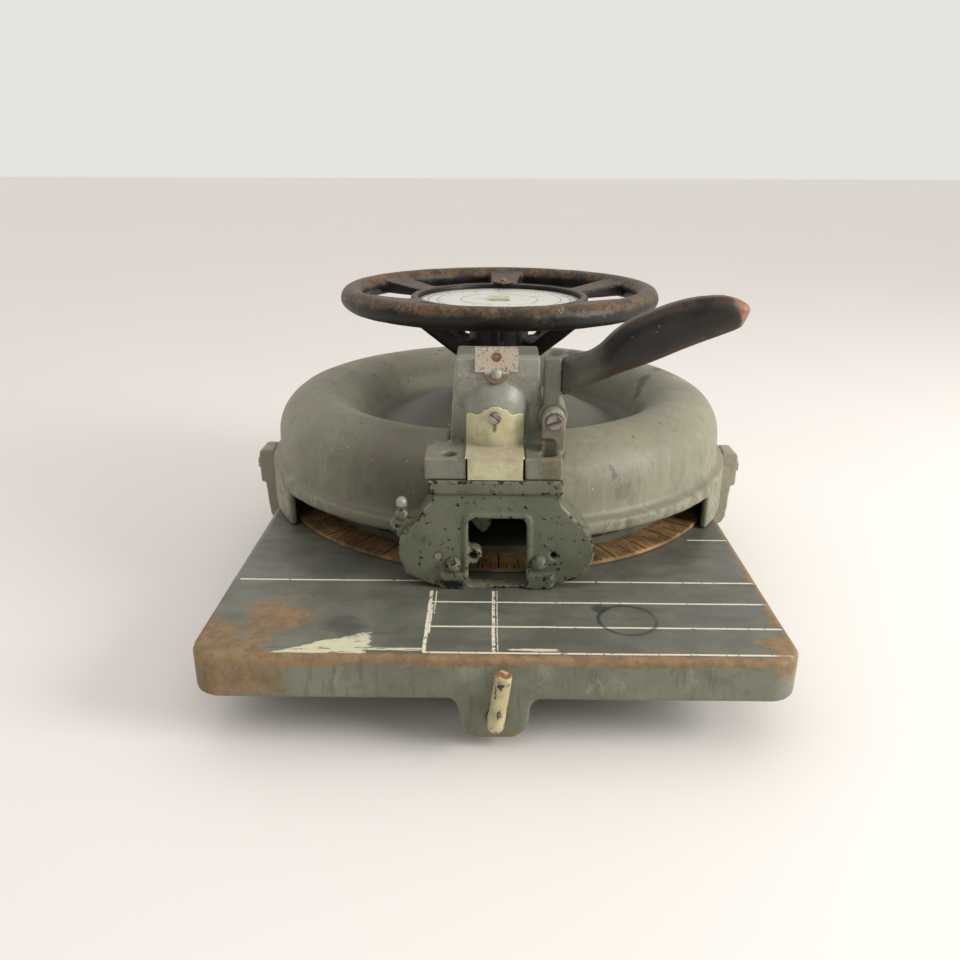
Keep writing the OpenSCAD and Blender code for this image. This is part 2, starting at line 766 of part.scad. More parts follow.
module worm_wheel() {
  color(bronze) above_deck() translate([wheel_x, wheel_face / 2, -gear_drop]) rotate([90, 0, 0])
    difference() {
      linear_extrude(height = wheel_face)
        polygon([for (i = [0 : wheel_teeth - 1], p = tooth_points) turned(p, i * 360 / wheel_teeth)]);
      translate([0, 0, -1]) cylinder(h = 30, r = shaft_r + 0.02);
      translate([0, -3, -1]) cube([shaft_r + 2.6, 6, 30]);
    }
}

module output_shaft() {
  color(steel) above_deck() difference() {
    union() {
      along_y(wheel_x, -case_y - 6, -gear_drop, shaft_end_y - stub_len + case_y + 6, shaft_r);
      along_y(wheel_x, shaft_end_y - stub_len - 1, -gear_drop, stub_len + 1, stub_r);
    }
    translate([wheel_x + shaft_r - 2.6, -7, -gear_drop - 3]) cube([6, 14, 6]);
  }
}

module worm_wheel_key() {
  color(steel) above_deck()
    translate([wheel_x + shaft_r - 2.5, -6.9, -gear_drop - 2.95]) cube([5, 13.8, 5.9]);
}

module y_ring(y0, y1, r_in, r_out) {
  difference() {
    along_y(wheel_x, y0, -gear_drop, y1 - y0, r_out);
    along_y(wheel_x, y0 - 1, -gear_drop, y1 - y0 + 2, r_in);
  }
}

module shaft_collars() {
  color(steel) above_deck() for (s = [-1, 1])
    y_ring(s > 0 ? 8.1 : -18, s > 0 ? 18 : -8.1, shaft_r + 0.02, 13.4);
}

module output_bushes() {
  color(bronze) above_deck() for (s = [-1, 1])
    y_ring(s > 0 ? 24 : -case_y - 4, s > 0 ? case_y - 2 : -24, shaft_r + run_gap, 13.95);
}

module shaft_seal() {
  color(black_paint) above_deck() y_ring(case_y - 1.8, case_y + 6, shaft_r + run_gap, 13.95);
}

// ---- Lever, crank and plunger ----

module grip_outline() {
  polygon([
    [49.2, 187.2], [54, 188.3], [72.3, 194], [80, 199.4], [88.7, 208.7], [98.5, 216.7],
    [109.6, 222.7], [120.6, 227.1], [131, 231.2], [142.6, 234.7], [154, 237], [164.9, 237.9],
    [173.9, 237.9], [183, 236.2], [190, 233], [194, 229.5], [193.8, 226.5], [189.9, 217],
    [188, 213.9], [181.5, 210.9], [168.3, 205.7], [146, 196.8], [123.8, 187.5], [101, 178.3],
    [78.3, 169.3], [56.4, 160], [49.2, 157.7]
  ]);
}

module lever_arm() {
  color(green) above_deck() difference() {
    union() {
      along_y(pivot_x, -225.4, pivot_z, 9.8, 12);
      outline_xz(-225.4, -215.6)
        polygon([[35, 150], [37, 143], [48.6, 138], [48.6, 188.3], [44, 188.6], [35, 188]]);
      outline_xz(-223, -218) polygon([[48, 162], [48, 175], [92, 200], [96, 182]]);
    }
    along_y(pivot_x, -230, pivot_z, 20, 6);
    for (p = rivets) along_y(p[0], -230, p[1], 20, 2.5);
  }
}

// The grip bulges front and back, in three steps
module lever_grip() {
  color(black_paint) above_deck() difference() {
    union() {
      outline_xz(-227, -213) grip_outline();
      outline_xz(-230, -211) offset(delta = -4) grip_outline();
      outline_xz(-231.5, -209.5) offset(delta = -9) grip_outline();
    }
    outline_xz(-223.05, -217.95) polygon([[44, 159], [44, 175], [94, 203.5], [98, 181.5]]);
    for (p = rivets) along_y(p[0], -227, p[1], 20, 2.5);
  }
}

// Rivets of the grip, with heads on the back only
module grip_rivets() {
  color(rust) above_deck() for (p = rivets) {
    along_y(p[0], -226.9, p[1], 17.7, 2.45);
    along_y(p[0], -209.4, p[1], 1.3, 4);
  }
}

module pivot_screw() {
  color(steel) above_deck() translate([pivot_x, -240.3, pivot_z]) slotted_screw(6.6, 4, 6, 50, -20);
}

module inner_crank() {
  color(steel) above_deck() difference() {
    union() {
      along_y(pivot_x, crank_y - 4, pivot_z, 8, 10);
      along_y(barrel_x, crank_y - 4, pivot_z, 8, 5);
      outline_xz(crank_y - 4, crank_y + 4) polygon([
        [barrel_x, pivot_z - 3], [pivot_x, pivot_z - 8], [pivot_x, pivot_z + 8], [barrel_x, pivot_z + 4.4]
      ]);
    }
    along_y(pivot_x, crank_y - 6, pivot_z, 12, 6.02);
  }
}

module index_plunger() {
  color(steel) above_deck() difference() {
    union() {
      translate([barrel_x, barrel_y, 64]) cylinder(h = spring_seat_z - 64, r = plunger_r);
      translate([barrel_x, barrel_y, spring_seat_z - 4]) cylinder(h = 4, r = 16.2);
      translate([barrel_x, barrel_y, spring_seat_z - 1]) cylinder(h = 10, r = 8);
    }
    // Slot for the rounded end of the crank, with room for its small arc
    box_between([barrel_x - 7, crank_y - 4.6, pivot_z - 5.4], [barrel_x + 30, crank_y + 4.6, pivot_z + 5.4]);
    box_between([barrel_x + 2, crank_y - 4.6, pivot_z - 10], [barrel_x + 30, crank_y + 4.6, pivot_z]);
    along_y(barrel_x, barrel_y - 20, 70, 40, 2.5);
  }
}

module plunger_tooth() {
  y0 = -224;
  color(green) above_deck() difference() {
    union() {
      outline_xz(y0, -204) {
        polygon([[-24.5, 60], [-24.5, 48], [-18, 38.5], [-14.5, 36.5], [-11, 38], [-5.7, 46], [-5.7, 60]]);
      }
      box_between([-24.5, y0, 57], [10, -192, 82]);
    }
    translate([barrel_x, barrel_y, 63.9]) cylinder(h = 30, r = plunger_r + 0.02);
    along_y(barrel_x, y0 - 5, 70, 60, 2.5);
  }
}

module plunger_spring() {
  turns = 4;
  steps = 14;
  sides = 8;
  coil_r = 13;
  wire_r = 1.4;
  z0 = spring_seat_z + wire_r + 0.1;
  rise = cavity_z1 - wire_r - 0.1 - z0;
  last = turns * steps;
  coil = [for (i = [0 : last], j = [0 : sides - 1])
    let (a = i * 360 / steps, b = j * 360 / sides, r = coil_r + wire_r * cos(b))
    [r * cos(a), r * sin(a), z0 + rise * i / last + wire_r * sin(b)]];
  sides_of_coil = [for (i = [0 : last - 1], j = [0 : sides - 1])
    let (k = (j + 1) % sides)
    [i * sides + j, i * sides + k, (i + 1) * sides + k, (i + 1) * sides + j]];
  ends = [[for (j = [sides - 1 : -1 : 0]) j], [for (j = [0 : sides - 1]) last * sides + j]];
  color(steel) above_deck() translate([barrel_x, barrel_y, 0])
    polyhedron(points = coil, faces = concat(sides_of_coil, ends));
}

// ---- Latch in the front tongue ----

module latch_pin() {
  bend_y = -plate_front - 9.5;
  color(cream) above_deck() {
    along_y(latch_x, bend_y, latch_z, 9.5 + plate_wall + 9, latch_r);
    translate([latch_x, bend_y, latch_z]) sphere(r = latch_r);
    translate([latch_x, bend_y, latch_z]) rotate([0, latch_lean, 0]) cylinder(h = 43, r = latch_r);
  }
}

module latch_collar() {
  color(steel) above_deck() difference() {
    along_y(latch_x, -plate_front + plate_wall + 0.3, latch_z, 6, 11);
    along_y(latch_x, -plate_front + plate_wall - 1, latch_z, 9, latch_r + 0.02);
  }
}

base_plate();
rear_feet_plate();
gear_case();
case_screws();
dish_housing();
left_side_lug();
right_side_lug();
lug_screws();
front_bracket();
bracket_studs();
blanking_plug();
lug_pin();
tower();
tower_cover();
cover_screw();
stamp_plate();
stamp_plate_screw();
spindle_bush();
deck_bush();
floor_bush();
dial_post();
dial_plate();
dial_cap();
output_bushes();
shaft_seal();
barrel_cap();
handwheel();
wheel_pointer();
pointer_screw();
spindle();
wheel_key();
wheel_nut();
thrust_washer();
worm();
worm_key();
worm_collar();
graduated_ring();
ring_spider();
ring_screws();
worm_wheel();
output_shaft();
worm_wheel_key();
shaft_collars();
lever_arm();
lever_grip();
grip_rivets();
pivot_screw();
inner_crank();
index_plunger();
plunger_tooth();
plunger_spring();
latch_pin();
latch_collar();
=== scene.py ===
"""Worm gear set: a worn painted casting with a handwheel, a round housing, a lever tower and a plunger."""

import json
import math

import bmesh
import bpy
import numpy as np
from mathutils import Matrix, Vector, noise


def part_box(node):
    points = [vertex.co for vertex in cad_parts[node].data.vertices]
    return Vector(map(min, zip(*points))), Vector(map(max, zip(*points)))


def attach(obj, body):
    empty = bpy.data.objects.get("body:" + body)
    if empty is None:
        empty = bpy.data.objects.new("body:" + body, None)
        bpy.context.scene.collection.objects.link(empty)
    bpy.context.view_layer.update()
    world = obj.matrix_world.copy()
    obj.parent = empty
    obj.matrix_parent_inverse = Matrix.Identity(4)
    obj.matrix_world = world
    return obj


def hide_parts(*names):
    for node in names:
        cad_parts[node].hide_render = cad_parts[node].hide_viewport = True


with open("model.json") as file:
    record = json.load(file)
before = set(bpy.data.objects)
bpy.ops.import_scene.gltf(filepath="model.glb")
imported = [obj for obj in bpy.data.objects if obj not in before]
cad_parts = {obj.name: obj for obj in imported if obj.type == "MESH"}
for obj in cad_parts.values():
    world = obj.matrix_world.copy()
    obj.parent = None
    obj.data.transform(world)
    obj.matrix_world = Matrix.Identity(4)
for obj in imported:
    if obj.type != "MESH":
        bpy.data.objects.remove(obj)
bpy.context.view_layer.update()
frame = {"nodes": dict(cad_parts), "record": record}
scene = bpy.context.scene

# ---- Named places, in metres in the row frame ----

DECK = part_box("base_plate")[1].z
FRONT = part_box("base_plate")[0].y
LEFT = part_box("base_plate")[0].x
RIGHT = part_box("base_plate")[1].x
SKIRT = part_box("dish_housing")[1].x
RIM_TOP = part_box("handwheel")[1].z
DIAL_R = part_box("dial_plate")[1].x
RING_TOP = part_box("graduated_ring")[1].z
RING_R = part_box("graduated_ring")[1].x
MM = 0.001
DEGREE = math.pi / 180

# ---- Marks and stains, in millimetres in the row frame ----

# Painted chart: rows as (y, from x, to x), columns as (x, from y, to y, half width)
CHART_ROWS = ((-357.5, -56, 217), (-320, -56, 217), (-281, -56, 217), (-244, -221, 217), (-156, 179, 217))
CHART_COLUMNS = ((-55.7, -357, -262, 1.7), (-4.5, -357, -262, 1.5), (-51.5, -300, -262, 0.6),
                 (-1.6, -357, -262, 0.45), (-53.5, -330, -285, 0.9))
# Cream smear left of the chart: where its slanted side meets the deck, how steep that side is, its two ends
SMEAR_X, SMEAR_SLOPE, SMEAR_Y, SMEAR_FRONT, SMEAR_END = -165, 0.43, -357, -360.5, -97
SMEAR_TAILS = ((-353.5, -120, -57, 2.2), (-352.8, 8, 42, 1.8))
OIL_RING, OIL_RING_R = (100, -308), 22.5
OIL_BLOB, OIL_SCUFF = (80, -291), (-121, -321)
# Plate rust: the patch on the deck, how far it eats in from the left and right front corners, where it
# begins and is full along the left edge, and its depth below the deck at the foot
DECK_RUST, CORNER_RUST = (-178, -307), (66, 34)
LEFT_RUST_Y, FOOT_RUST = (-230, -300), (62, 67)
# Housing: smudges as (x, y, height over the deck, size, strength), and the painted shadow beside the tower
SMUDGES = ((165, 41, 108, 15, 0.85), (160, 31, 103, 14, 0.85), (155, 20, 97, 13, 0.8),
           (182, 63, 115, 12, 0.85), (76, 160, 112, 18, 0.85), (94, 156, 114, 17, 0.85),
           (168, -172, 62, 15, 0.4), (-118, -206, 66, 15, 0.35), (107, -205, 68, 16, 0.3))
TOWER_SHADOW_AT = (-88, -214, 78)
# Housing: how far inside its rim the outside begins and the painted shade in the bowl, and the top of the
# bead
OUTSIDE, BOWL_SHADE, BEAD_TOP = (22, 8), (88, 104), 47
# Bracket: the bare black block at its left foot, as two spans
FOOT_X, FOOT_Z = (-47, -30), (2, 8)
# Tower and cover: heights over the deck, and places along x and y
DOME_LOW, DOME_HIGH, FLANGE_TOP = 128, 150, 112
DOME_Y, EARS_X = (-205, -214), 30
COVER_BEND, COVER_STAIN, COVER_STAIN_X = (112, 121), (130, 138), -4.6
# Wheel: the radius where the arms end and the rim begins, and how far below its top the wear begins
# and is full
RIM_INNER, RIM_WEAR = 134, (13, 5)
# Grip: its front face, the red dot near its tip, the reddish tip as x + TIP_LEAN * z, and the painted root
GRIP_FRONT, RED_DOT, RED_DOT_R = (-224, -227.5), (186.5, 228), 2.3
TIP, TIP_LEAN, ROOT = (294, 300), 0.35, (94, 78)
# Latch pin: how far below the deck its worn lower end begins and is full
LATCH_END = (54, 60)
# Small plate: its hole, and where its darker tongue begins
STAMP_HOLE, STAMP_TONGUE = (-3.6, 190), 177
# Ring: ticks as (degrees apart, length, half width); dial: circles as (radius, half width), ticks as
# (degrees apart, from radius, to radius)
RING_TICKS = ((9.0, 38, 1.0), (1.8, 9, 0.55), (4.5, 20, 0.8))
DIAL_CIRCLES = ((80.5, 0.8), (73.5, 0.5), (64.0, 0.5), (40.0, 0.5))
DIAL_TICKS, DIAL_TICK_R = ((3.6, 73.5, 78.0), (18.0, 64.0, 81.0)), 76


def rgb(r, g, b):
    """A screen colour from 0 to 255 as the linear colour a shader takes."""
    def linear(c):
        c /= 255
        return c / 12.92 if c <= 0.04045 else ((c + 0.055) / 1.055) ** 2.4
    return (linear(r), linear(g), linear(b), 1.0)


RUST = rgb(128, 90, 60)
RUST_LIGHT = rgb(160, 122, 88)
RUST_DARK = rgb(92, 62, 44)
SOOT = rgb(40, 40, 38)
CHIP_BLACK = rgb(18, 17, 16)
FOOT_BLACK = rgb(16, 15, 14)
CHART_WHITE = rgb(226, 216, 194)
SMEAR_CREAM = rgb(206, 202, 172)
DIAL_INK = rgb(34, 34, 32)


class Finish:
    """One procedural material, built up as coats over a base colour."""

    def __init__(self, name, colour, roughness=0.5, metal=0.0, specular=0.5):
        self.material = bpy.data.materials.new(name)
        self.material.use_nodes = True
        self.tree = self.material.node_tree
        self.shader = self.tree.nodes["Principled BSDF"]
        self.shader.inputs["Specular IOR Level"].default_value = specular
        self.place = self.add("TexCoord").outputs["Object"]
        split = self.add("SeparateXYZ")
        self.feed(split.inputs[0], self.place)
        self.x, self.y, self.z = split.outputs
        geometry = self.add("NewGeometry")
        self.point = geometry.outputs["Pointiness"]
        facing = self.add("SeparateXYZ")
        self.feed(facing.inputs[0], geometry.outputs["Normal"])
        self.up = facing.outputs[2]
        self.colour, self.roughness, self.metal = colour, roughness, metal
        self.height = 0.0

    def add(self, kind, **settings):
        """One new shader node of that kind."""
        node = self.tree.nodes.new("ShaderNode" + kind)
        for key, value in settings.items():
            setattr(node, key, value)
        return node

    def feed(self, socket, value):
        """Links a socket into another, or sets it where the value is plain."""
        if isinstance(value, bpy.types.NodeSocket):
            self.tree.links.new(value, socket)
        else:
            socket.default_value = value

    def math(self, operation, *values):
        node = self.add("Math", operation=operation)
        for socket, value in zip(node.inputs, values):
            self.feed(socket, value)
        return node.outputs[0]

    def plus(self, a, b):
        return self.math("ADD", a, b)

    def times(self, *values):
        out = values[0]
        for value in values[1:]:
            out = self.math("MULTIPLY", out, value)
        return out

    def either(self, *values):
        out = values[0]
        for value in values[1:]:
            out = self.math("MAXIMUM", out, value)
        return out

    def no(self, value):
        return self.math("SUBTRACT", 1.0, value)

    def fade(self, value, start, end):
        """0 at start and 1 at end, with a smooth turn between; start may be the larger."""
        node = self.add("MapRange", interpolation_type="SMOOTHSTEP")
        for socket, item in zip(node.inputs, (value, start, end, 0.0, 1.0)):
            self.feed(socket, item)
        return node.outputs[0]

    def stretched(self, x=1.0, y=1.0, z=1.0):
        """The object's coordinates scaled, so that noise on them runs along an axis."""
        node = self.add("Mapping")
        self.feed(node.inputs["Vector"], self.place)
        node.inputs["Scale"].default_value = (x, y, z)
        return node.outputs[0]

    def noise(self, size, detail=4.0, rough=0.6, place=None, warp=0.0):
        """Soft noise from 0 to 1 about 0.5, its blotches about size metres across."""
        node = self.add("TexNoise")
        self.feed(node.inputs["Vector"], place or self.place)
        node.inputs["Scale"].default_value = 1 / size
        node.inputs["Detail"].default_value = detail
        node.inputs["Roughness"].default_value = rough
        node.inputs["Distortion"].default_value = warp
        return node.outputs["Fac"]

    def cells(self, size, place):
        """Distance to the nearest of a scatter of points, in units of size."""
        node = self.add("TexVoronoi")
        self.feed(node.inputs["Vector"], place)
        node.inputs["Scale"].default_value = 1 / size
        return node.outputs["Distance"]

    def mix(self, amount, a, b):
        """Colour a where amount is 0, and b where it is 1."""
        node = self.add("Mix", data_type="RGBA")
        for index, value in ((0, amount), (6, a), (7, b)):
            self.feed(node.inputs[index], value)
        return node.outputs[2]

    def blend(self, amount, a, b):
        """The same as mix, for plain values."""
        node = self.add("Mix", data_type="FLOAT")
        for index, value in ((0, amount), (2, a), (3, b)):
            self.feed(node.inputs[index], value)
        return node.outputs[0]

    def coat(self, amount, colour=None, roughness=None, metal=None, lift=0.0):
        """Lays one more coat over the rest where amount is 1, and returns amount. lift is its thickness."""
        if colour is not None:
            self.colour = self.mix(amount, self.colour, colour)
        if roughness is not None:
            self.roughness = self.blend(amount, self.roughness, roughness)
        if metal is not None:
            self.metal = self.blend(amount, self.metal, metal)
        if lift:
            self.height = self.plus(self.height, self.times(amount, lift))
        return amount

    def span(self, value, low, high, soft):
        """1 from low to high, with soft ends."""
        return self.times(self.fade(value, low - soft, low + soft),
                          self.fade(value, high + soft, high - soft))

    def stripe(self, value, at, outer, inner):
        """1 within inner of at, and 0 past outer."""
        return self.fade(self.math("ABSOLUTE", self.plus(value, -at)), outer, inner)

    def patch(self, value, threshold, soft=0.03):
        """1 where value is past the threshold."""
        return self.fade(value, threshold - soft, threshold + soft)

    def swing(self, size, reach, detail=4.0, rough=0.6, place=None):
        """Noise about 0 that swings over that reach, to make an outline ragged."""
        return self.times(self.plus(self.noise(size, detail, rough, place), -0.5), reach)

    def edges(self, amount=0.54, soft=0.02, size=6 * MM, spread=0.12):
        """1 along convex edges, broken up by noise."""
        return self.patch(self.plus(self.point, self.swing(size, spread)), amount, soft)

    def hollows(self, amount=0.46, soft=0.03):
        """1 in concave corners, which the finishes colour darker."""
        return self.fade(self.point, amount + soft, amount - soft)

    def away(self, x=None, y=None, z=None):
        """Distance from a point, line or plane, by the coordinates given."""
        total = 0.0
        for own, at in ((self.x, x), (self.y, y), (self.z, z)):
            if at is not None:
                step = self.math("SUBTRACT", own, at)
                total = self.plus(total, self.times(step, step))
        return self.math("SQRT", total)

    def plan_away(self, at):
        """Distance in plan from a place (x, y) given in millimetres."""
        return self.away(x=at[0] * MM, y=at[1] * MM)

    def chips(self, size, share, cluster=50 * MM):
        """Small sharp chips in the paint, in clusters, more of them with a larger share."""
        spot = self.cells(size, self.warped(size / 2))
        limit = self.plus(self.swing(cluster, 0.35, 2.0), share)
        chip = self.patch(self.math("SUBTRACT", limit, spot), 0.0, 0.02)
        self.coat(chip, SOOT, 0.6, lift=-0.25 * MM)

    def tick_angle(self, step):
        """How far round Z a point is from the nearest multiple of step degrees, in radians."""
        angle = self.times(self.math("ARCTAN2", self.y, self.x), 1 / DEGREE)
        return self.times(self.math("ABSOLUTE", self.math("WRAP", angle, step / 2, -step / 2)), DEGREE)

    def warped(self, size):
        """The object's coordinates pushed about by noise of that size."""
        node = self.add("TexNoise")
        self.feed(node.inputs["Vector"], self.place)
        node.inputs["Scale"].default_value = 1 / size
        node.inputs["Detail"].default_value = 2
        push = self.add("VectorMath", operation="MULTIPLY_ADD")
        self.feed(push.inputs[0], node.outputs["Color"])
        push.inputs[1].default_value = (0.8 * size,) * 3
        self.feed(push.inputs[2], self.place)
        return push.outputs[0]

    def grain(self, size, depth, detail=3.0):
        """Fine unevenness in the surface, depth in metres."""
        self.height = self.plus(self.height, self.times(self.noise(size, detail), depth))

    def done(self):
        """Wires the coats into the shader and returns the material."""
        self.feed(self.shader.inputs["Base Color"], self.colour)
        self.feed(self.shader.inputs["Roughness"], self.roughness)
        self.feed(self.shader.inputs["Metallic"], self.metal)
        if isinstance(self.height, bpy.types.NodeSocket):
            bump = self.add("Bump")
            bump.inputs["Strength"].default_value = 1.0
            bump.inputs["Distance"].default_value = 1.0
            self.feed(bump.inputs["Height"], self.height)
            self.feed(self.shader.inputs["Normal"], bump.outputs[0])
        return self.material


def old_paint(name, light, dark, grime, roughness=0.5):
    """Machine paint that has gone uneven, with grime rubbed in."""
    f = Finish(name, light, roughness, specular=0.4)
    f.coat(f.patch(f.noise(90 * MM, 5.0), 0.5, 0.14), dark, roughness + 0.04)
    f.coat(f.times(f.patch(f.noise(18 * MM, 6.0, 0.7), 0.6, 0.12), 0.45), grime, roughness + 0.12)
    f.coat(f.times(f.patch(f.noise(4 * MM, 3.0), 0.62, 0.06), 0.35), light, roughness - 0.06)
    f.grain(2.2 * MM, 0.1 * MM)
    f.grain(11 * MM, 0.22 * MM)
    return f


# ---- Base plate: blue-grey green, painted chart lines, rusted edges ----

def plate_finish():
    f = old_paint("plate_paint", rgb(126, 127, 108), rgb(108, 110, 94), rgb(80, 79, 66), 0.42)
    top = f.fade(f.z, DECK - 1.4 * MM, DECK - 0.5 * MM)
    deck = f.mix(f.patch(f.noise(50 * MM, 6.0, 0.65), 0.5, 0.16), rgb(88, 88, 80), rgb(110, 109, 98))
    f.coat(f.times(top, 0.88), deck, 0.36)
    # Wear rubbed along the deck
    rub = f.noise(30 * MM, 5.0, 0.7, f.stretched(0.5, 1.6, 1.0))
    f.coat(f.times(top, f.patch(rub, 0.56, 0.08), 0.5), rgb(80, 78, 70), 0.45)
    # Vertical run marks down the front and side faces
    run = f.noise(6 * MM, 4.0, 0.6, f.stretched(1.0, 1.0, 0.14))
    f.coat(f.times(f.no(top), f.patch(run, 0.6, 0.07), 0.5), rgb(84, 84, 70))
    pale = f.noise(22 * MM, 5.0, 0.7, f.stretched(1.0, 1.0, 0.6))
    f.coat(f.times(f.no(top), f.patch(pale, 0.6, 0.05), 0.5), rgb(144, 144, 124))
    for y, x0, x1 in CHART_ROWS:
        line = f.stripe(f.plus(f.y, f.swing(30 * MM, 0.8 * MM, 2.0)), y * MM, 1.25 * MM, 0.85 * MM)
        whole = f.patch(f.noise(5 * MM, 4.0, 0.7), 0.38, 0.04)
        part = f.span(f.x, x0 * MM, x1 * MM, 0.4 * MM)
        f.coat(f.times(top, line, part, whole), CHART_WHITE, 0.5, lift=0.06 * MM)
    for x, y0, y1, wide in CHART_COLUMNS:
        line = f.stripe(f.plus(f.x, f.swing(24 * MM, 1.6 * MM, 2.0)), x * MM, wide * MM, 0.6 * wide * MM)
        whole = f.patch(f.noise(6 * MM, 4.0, 0.7), 0.42, 0.05)
        part = f.span(f.y, y0 * MM, y1 * MM, 0.5 * MM)
        f.coat(f.times(top, line, part, whole), CHART_WHITE, 0.5, lift=0.06 * MM)
    # Cream smear left of the chart: a brushed wedge with two thin tails along the front line
    ragged = f.swing(12 * MM, 14 * MM, 5.0, 0.75, f.stretched(0.5, 1.6, 1.0))
    rise = f.plus(f.times(f.plus(f.x, -SMEAR_X * MM), SMEAR_SLOPE), SMEAR_Y * MM)
    wedge = f.times(f.fade(f.plus(f.math("SUBTRACT", rise, f.y), ragged), 0.0, 1.2 * MM),
                    f.fade(f.plus(f.y, f.times(ragged, 0.3)), SMEAR_FRONT * MM, (SMEAR_FRONT + 1.5) * MM),
                    f.fade(f.plus(f.x, f.times(ragged, 1.6)), SMEAR_END * MM, (SMEAR_END - 3) * MM))
    brushed = f.patch(f.noise(9 * MM, 5.0, 0.75, f.stretched(0.4, 2.0, 1.0)), 0.40, 0.05)
    f.coat(f.times(top, wedge, brushed), SMEAR_CREAM, 0.55, lift=0.1 * MM)
    for y, x0, x1, wide in SMEAR_TAILS:
        gap = f.plus(f.math("ABSOLUTE", f.plus(f.y, -y * MM)), f.times(ragged, 0.3))
        band = f.fade(gap, wide * MM, 0.6 * wide * MM)
        part = f.span(f.plus(f.x, ragged), x0 * MM, x1 * MM, 2 * MM)
        f.coat(f.times(top, band, part, brushed), SMEAR_CREAM, 0.55, lift=0.1 * MM)
    # Oil: a ring with its blob, and a scuff
    ring = f.stripe(f.plan_away(OIL_RING), OIL_RING_R * MM, 2.4 * MM, 0.8 * MM)
    weak = f.patch(f.noise(30 * MM, 3.0), 0.42, 0.12)
    f.coat(f.times(top, ring, f.plus(f.times(weak, 0.55), 0.3)), rgb(52, 54, 56), 0.3)
    blob = f.fade(f.plus(f.plan_away(OIL_BLOB), f.times(f.noise(12 * MM), 12 * MM)), 15 * MM, 10 * MM)
    f.coat(f.times(top, blob, 0.75), rgb(48, 50, 53), 0.3)
    scuff = f.fade(f.plus(f.plan_away(OIL_SCUFF), f.times(f.noise(20 * MM, 5.0), 50 * MM)), 46 * MM, 28 * MM)
    f.coat(f.times(top, scuff, 0.6), rgb(58, 56, 54), 0.4)
    # Rust: the front top edge and its corners, the side edges, the foot, and a patch on the deck's left
    ragged = f.plus(f.noise(22 * MM, 6.0, 0.7), -0.5)
    small = f.noise(5 * MM, 5.0, 0.7)
    near = f.fade(f.plus(f.away(y=FRONT, z=DECK), f.times(ragged, 13 * MM)), 7.5 * MM, 4.5 * MM)
    corners = []
    for side, reach in zip((LEFT, RIGHT), CORNER_RUST):
        gap = f.plus(f.away(x=side, y=FRONT, z=DECK), f.times(ragged, 120 * MM))
        corners.append(f.fade(gap, reach * MM, 0.72 * reach * MM))
    right = f.fade(f.plus(f.away(x=RIGHT, z=DECK), f.times(ragged, 26 * MM)), 8 * MM, 4 * MM)
    left = f.times(f.fade(f.plus(f.away(x=LEFT, z=DECK), f.times(ragged, 20 * MM)), 5 * MM, 2 * MM),
                   f.fade(f.y, LEFT_RUST_Y[0] * MM, LEFT_RUST_Y[1] * MM))
    sore = f.fade(f.plus(f.plan_away(DECK_RUST), f.times(ragged, 110 * MM)), 34 * MM, 16 * MM)
    sore = f.times(sore, top, f.patch(small, 0.38, 0.08))
    foot = f.fade(f.plus(f.z, f.times(ragged, 22 * MM)), DECK - FOOT_RUST[0] * MM, DECK - FOOT_RUST[1] * MM)
    broken = f.plus(f.times(f.patch(small, 0.44, 0.08), 0.4), 0.6)
    patchy = f.plus(f.times(f.patch(small, 0.45, 0.09), 0.55), 0.45)
    rust = f.either(f.times(near, broken), f.times(f.either(*corners, right, left), patchy),
                    f.times(sore, 0.9), f.times(foot, 0.9))
    tint = f.mix(f.patch(f.noise(12 * MM, 5.0, 0.7), 0.5, 0.12), rgb(124, 98, 66), rgb(152, 120, 82))
    f.coat(f.times(rust, 0.86), tint, 0.7, lift=0.05 * MM)
    f.coat(f.times(rust, f.patch(f.noise(1.6 * MM, 3.0), 0.62, 0.05), 0.35), RUST_DARK, 0.8)
    specks = f.times(f.patch(f.noise(3.5 * MM, 3.0, 0.6), 0.70, 0.02),
                     f.patch(f.noise(50 * MM, 2.0), 0.5, 0.08))
    f.coat(f.times(specks, 0.9), RUST, 0.8)
    f.chips(12 * MM, -0.02, 60 * MM)
    return f.done()


# ---- Round housing ----

